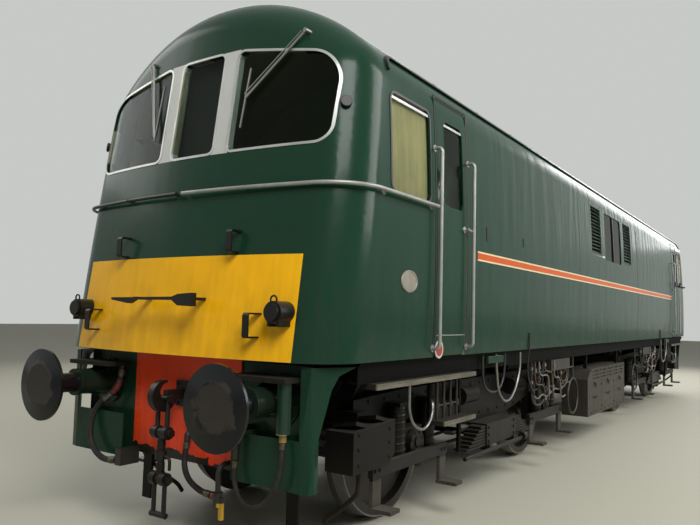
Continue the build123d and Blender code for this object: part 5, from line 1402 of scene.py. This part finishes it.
rack_metals = {
    "steel": worn_metal("rack_steel", (0.34, 0.335, 0.31, 1), roughness=0.30, metallic=0.9, dust=0.4),
    "copper": worn_metal("rack_copper", (0.23, 0.15, 0.085, 1), roughness=0.34, metallic=0.9, dust=0.5),
    "iron": pipe_iron,
}
pipe_bright = worn_metal("pipe_bright", (0.30, 0.30, 0.28, 1), roughness=0.30, metallic=0.9, dust=0.3)
bent_pipe = bmesh.new()
add_tube(bent_pipe, smooth_route(BRIGHT_PIPE), BRIGHT_PIPE_RADIUS, 14)
add_piece("step_bent_pipes", both_ends(both_sides(bent_pipe)), pipe_bright, "body")
for metal in rack_metals:
    rack = bmesh.new()
    for kind, radius, route in RACK_ROUTES:
        if kind == metal:
            add_tube(rack, smooth_route(route, 5), radius)
    if metal == "iron":
        add_tube(rack, smooth_route(DRAIN_PIPE, 5), DRAIN_RADIUS)
    add_piece(f"rack_{metal}_pipes", both_ends(both_sides(rack)), rack_metals[metal], "body")
junction = bmesh.new()
add_box(junction, *JUNCTION_BOX)
add_piece("solebar_boxes", both_ends(both_sides(junction)), body_paint, "body", bevel=0.004)
union_rows = [(place, (0, 0, 1)) for place in UNIONS]
grow_bolts("rack_unions", rows_all_round(union_rows), rack_metals["steel"], "body", "pipe_steel",
           UNION_RADIUS, UNION_LENGTH)

# Battery boxes: steel boxes with bolted edges, drop latches on the doors and a bent
# round bar as a grab handle below each latch.

BOX_FACE_X = 1.331
EDGE_BOLT_YS = (-1.26, -1.02, -0.78, -0.54, -0.30, -0.06, 0.18, 0.42, 0.66)
EDGE_BOLT_ZS = (0.425, 0.975)
HINGE_BOLT_YS = (-0.745, -0.695, -0.025, 0.025)
HINGE_BOLT_ZS = (0.47, 0.77)
LATCH_YS = (-1.08, -0.36, 0.36)
# Parts of a latch: ranges out from the box, along and up, from the latch's place
LATCH_PARTS = (
    ((-0.004, 0.010), (-0.030, 0.030), (-0.022, 0.022)),
    ((0.008, 0.020), (-0.011, 0.011), (-0.050, 0.006)),
)
LATCH_Z = 0.80
HANDLE_Z = 0.62
# Bends of a grab handle: out from the box and along
HANDLE_BENDS = ((-0.004, -0.07), (0.030, -0.07), (0.030, 0.07), (-0.004, 0.07))
HANDLE_RADIUS = 0.007

box_rows = face_rows(BOX_FACE_X, EDGE_BOLT_YS, EDGE_BOLT_ZS)
box_rows += face_rows(BOX_FACE_X, HINGE_BOLT_YS, HINGE_BOLT_ZS)
battery_paint = finishes["battery_paint"]
grow_bolts("battery_bolts", box_rows + turned_rows(box_rows), battery_paint, "body", "battery_taupe",
           radius=0.012, height=0.010)
latches = bmesh.new()
for y in LATCH_YS:
    for part in LATCH_PARTS:
        x_range, y_range, z_range = [[at + shift for shift in shifts]
                                     for at, shifts in zip((BOX_FACE_X, y, LATCH_Z), part)]
        add_box(latches, x_range, y_range, z_range)
    add_tube(latches, [(BOX_FACE_X + out, y + along, HANDLE_Z) for out, along in HANDLE_BENDS], HANDLE_RADIUS)
add_piece("battery_latches", both_ends(latches), battery_paint, "body", bevel=0.002)

# Rail feet: a round steel flange with three screws where each grab rail meets the
# plates, painted with the rail.

FLANGE_RADIUS = 0.027
FLANGE_THICK = 0.007
DOOR_RAIL_YS = (-5.935, -5.330)
DOOR_RAIL_ZS = (1.400, 2.930)
WAIST_POST_YS = (-6.700, -6.010)
WAIST_RAIL_Z = 2.470
foot_rows = [((side_x(z, 0.003), y, z), (1, 0, 0)) for y in DOOR_RAIL_YS for z in DOOR_RAIL_ZS]
foot_rows += face_rows(side_x(WAIST_RAIL_Z, 0.003), WAIST_POST_YS, (WAIST_RAIL_Z,))
grow_bolts("rail_feet", rows_all_round(foot_rows), rail_paint, "body", "rail_grey",
           FLANGE_RADIUS, FLANGE_THICK, sides=24)
screw_rows = []
for (x, y, z), facing in foot_rows:
    screw_rows += ring_rows((x + 0.005, y, z), "+x", 0.020, 3, pi / 2)
grow_bolts("rail_foot_screws", rows_all_round(screw_rows), rail_paint, "body", "rail_grey",
           radius=0.004, height=0.004)

# Machine room window: a dark steel bar between its two panes, deep enough to reach
# back to the glass.

ENGINE_BAR_Y = -0.095
ENGINE_BAR_HALF = 0.016
ENGINE_BAR_DEEPER = 0.022
ENGINE_WINDOW_Z = (2.512, 3.188)
engine_bar = bmesh.new()
add_side_strip(engine_bar, ENGINE_BAR_Y, ENGINE_BAR_HALF, *ENGINE_WINDOW_Z, 0.003)
for vertex in engine_bar.verts:
    if vertex.co.x < side_x(vertex.co.z):
        vertex.co.x -= ENGINE_BAR_DEEPER
add_piece("engine_window_bars", both_ends(engine_bar), black_enamel, "body")

# Door seals: a black rubber lip round each doorway, fixed on the body plates so that
# it covers the gap beside and above the leaf.

SEAL_HALF = 0.0080
SEAL_OUT = 0.003
SEAL_YS = (-5.9190, -5.3410)
SEAL_Z = (1.345, 3.352)
SEAL_TOP_Z = (3.350, 3.364)
seals = bmesh.new()
for y in SEAL_YS:
    add_side_strip(seals, y, SEAL_HALF, *SEAL_Z, SEAL_OUT)
seal_across = (SEAL_YS[0] - SEAL_HALF, SEAL_YS[1] + SEAL_HALF)
add_side_box(seals, SEAL_Z[1], (-0.004, SEAL_OUT), seal_across, SEAL_TOP_Z)
add_piece("door_seals", both_ends(both_sides(seals)), black_enamel, "body")

# Wipers: a rubber blade in a bright holder on each screen, and the second thin arm
# that runs beside the main one and keeps the blade upright.

# Each wiper: pivot and tip of its main arm, then the blade's top and foot, as (x, z)
WIPERS = (
    ((0.915, 3.560), (0.480, 3.130), (0.492, 3.350), (0.466, 2.910)),
    ((-0.610, 3.600), (-0.440, 2.960), (-0.415, 3.380), (-0.436, 2.935)),
)
BLADE_OUT = 0.013
BLADE_RADIUS = 0.0065
HOLDER_OUT = 0.021
HOLDER_RADIUS = 0.0040
ARM_OUT = 0.024
ARM_RADIUS = 0.0045
# The second arm's shift from the main one at its pivot and at its tip, as (x, z)
ARM_SHIFTS = ((-0.030, 0.0), (-0.012, 0.030))
BOW = 0.08


def on_screen(x, z, out):
    return (x, front_y(z, out) + BOW * x * x, z)


blades = bmesh.new()
holders = bmesh.new()
for pivot, tip, top, foot in WIPERS:
    add_tube(blades, [on_screen(x, z, BLADE_OUT) for x, z in (top, foot)], BLADE_RADIUS, 6)
    add_tube(holders, [on_screen(x, z, HOLDER_OUT) for x, z in (top, foot)], HOLDER_RADIUS, 8)
    arm = [on_screen(x + aside, z + up, ARM_OUT) for (x, z), (aside, up) in zip((pivot, tip), ARM_SHIFTS)]
    add_tube(holders, arm, ARM_RADIUS, 8)
add_piece("wiper_blades", both_ends(blades), black_enamel, "body")
add_piece("wiper_holders", both_ends(holders), wiper_metal, "body")

# Roof: thin steel cover strips over the joints between the roof plates, held by a row
# of bolts along both edges and painted with the roof.

ROOF_RADIUS = 1.702
ROOF_CENTRE_Z = 2.318
ROOF_TOP_Z = 4.0198
ROOF_JOINT_YS = (2.35, 3.30, 4.25, 5.20)
ROOF_REACH = 1.02
ROOF_STEPS = 24
# A cover strip's corners: from the joint along the roof, and out from the plates
STRIP_CORNERS = ((-0.030, -0.004), (0.030, -0.004), (0.030, 0.0015), (-0.030, 0.0015))
ROOF_BOLT_EDGES = (-0.019, 0.019)
ROOF_BOLT_FREE = 0.2
roof_strips = bmesh.new()
roof_rows = []
for y in ROOF_JOINT_YS:
    rows = []
    for step in range(ROOF_STEPS + 1):
        x = -ROOF_REACH + 2 * ROOF_REACH * step / ROOF_STEPS
        angle = x / ROOF_RADIUS
        row = []
        for edge, depth in STRIP_CORNERS:
            radius = ROOF_RADIUS + depth
            height = min(ROOF_CENTRE_Z + radius * cos(angle), ROOF_TOP_Z)
            row.append(roof_strips.verts.new((radius * sin(angle), y + edge, height)))
        rows.append(row)
        if abs(x) > ROOF_BOLT_FREE and step % 2 == 0:
            for edge in ROOF_BOLT_EDGES:
                place = (ROOF_RADIUS * sin(angle), y + edge, ROOF_CENTRE_Z + ROOF_RADIUS * cos(angle))
                roof_rows.append((place, (sin(angle), 0, cos(angle))))
    close_strip(roof_strips, rows)
add_piece("roof_strips", both_ends(roof_strips), body_paint, "body")
grow_bolts("roof_bolts", roof_rows + turned_rows(roof_rows), body_paint, "body", "body_green",
           radius=0.009, height=0.012)

# Corner vents: small round black hoods high on both corners of each cab, turned to
# face straight out of the wrapped plate that they are riveted to.

VENT_START = Vector((1.75, -7.62, 3.02))
VENT_AIM = Vector((-0.62, 0.78, 0.0)).normalized()
# Stages of a vent: depths from the plate and radius
VENT_STAGES = ((-0.02, 0.022, 0.034), (0.012, 0.030, 0.040))
plate = BVHTree.FromObject(bpy.data.objects["cab_1_skin"], bpy.context.evaluated_depsgraph_get())
vent_place, vent_facing = plate.ray_cast(VENT_START, VENT_AIM)[:2]
vent = bmesh.new()
for inner, outer, radius in VENT_STAGES:
    add_tube(vent, [vent_place + vent_facing * depth for depth in (inner, outer)], radius, 20)
add_piece("corner_vents", both_ends(both_sides(vent)), black_enamel, "body", bevel=0.004)
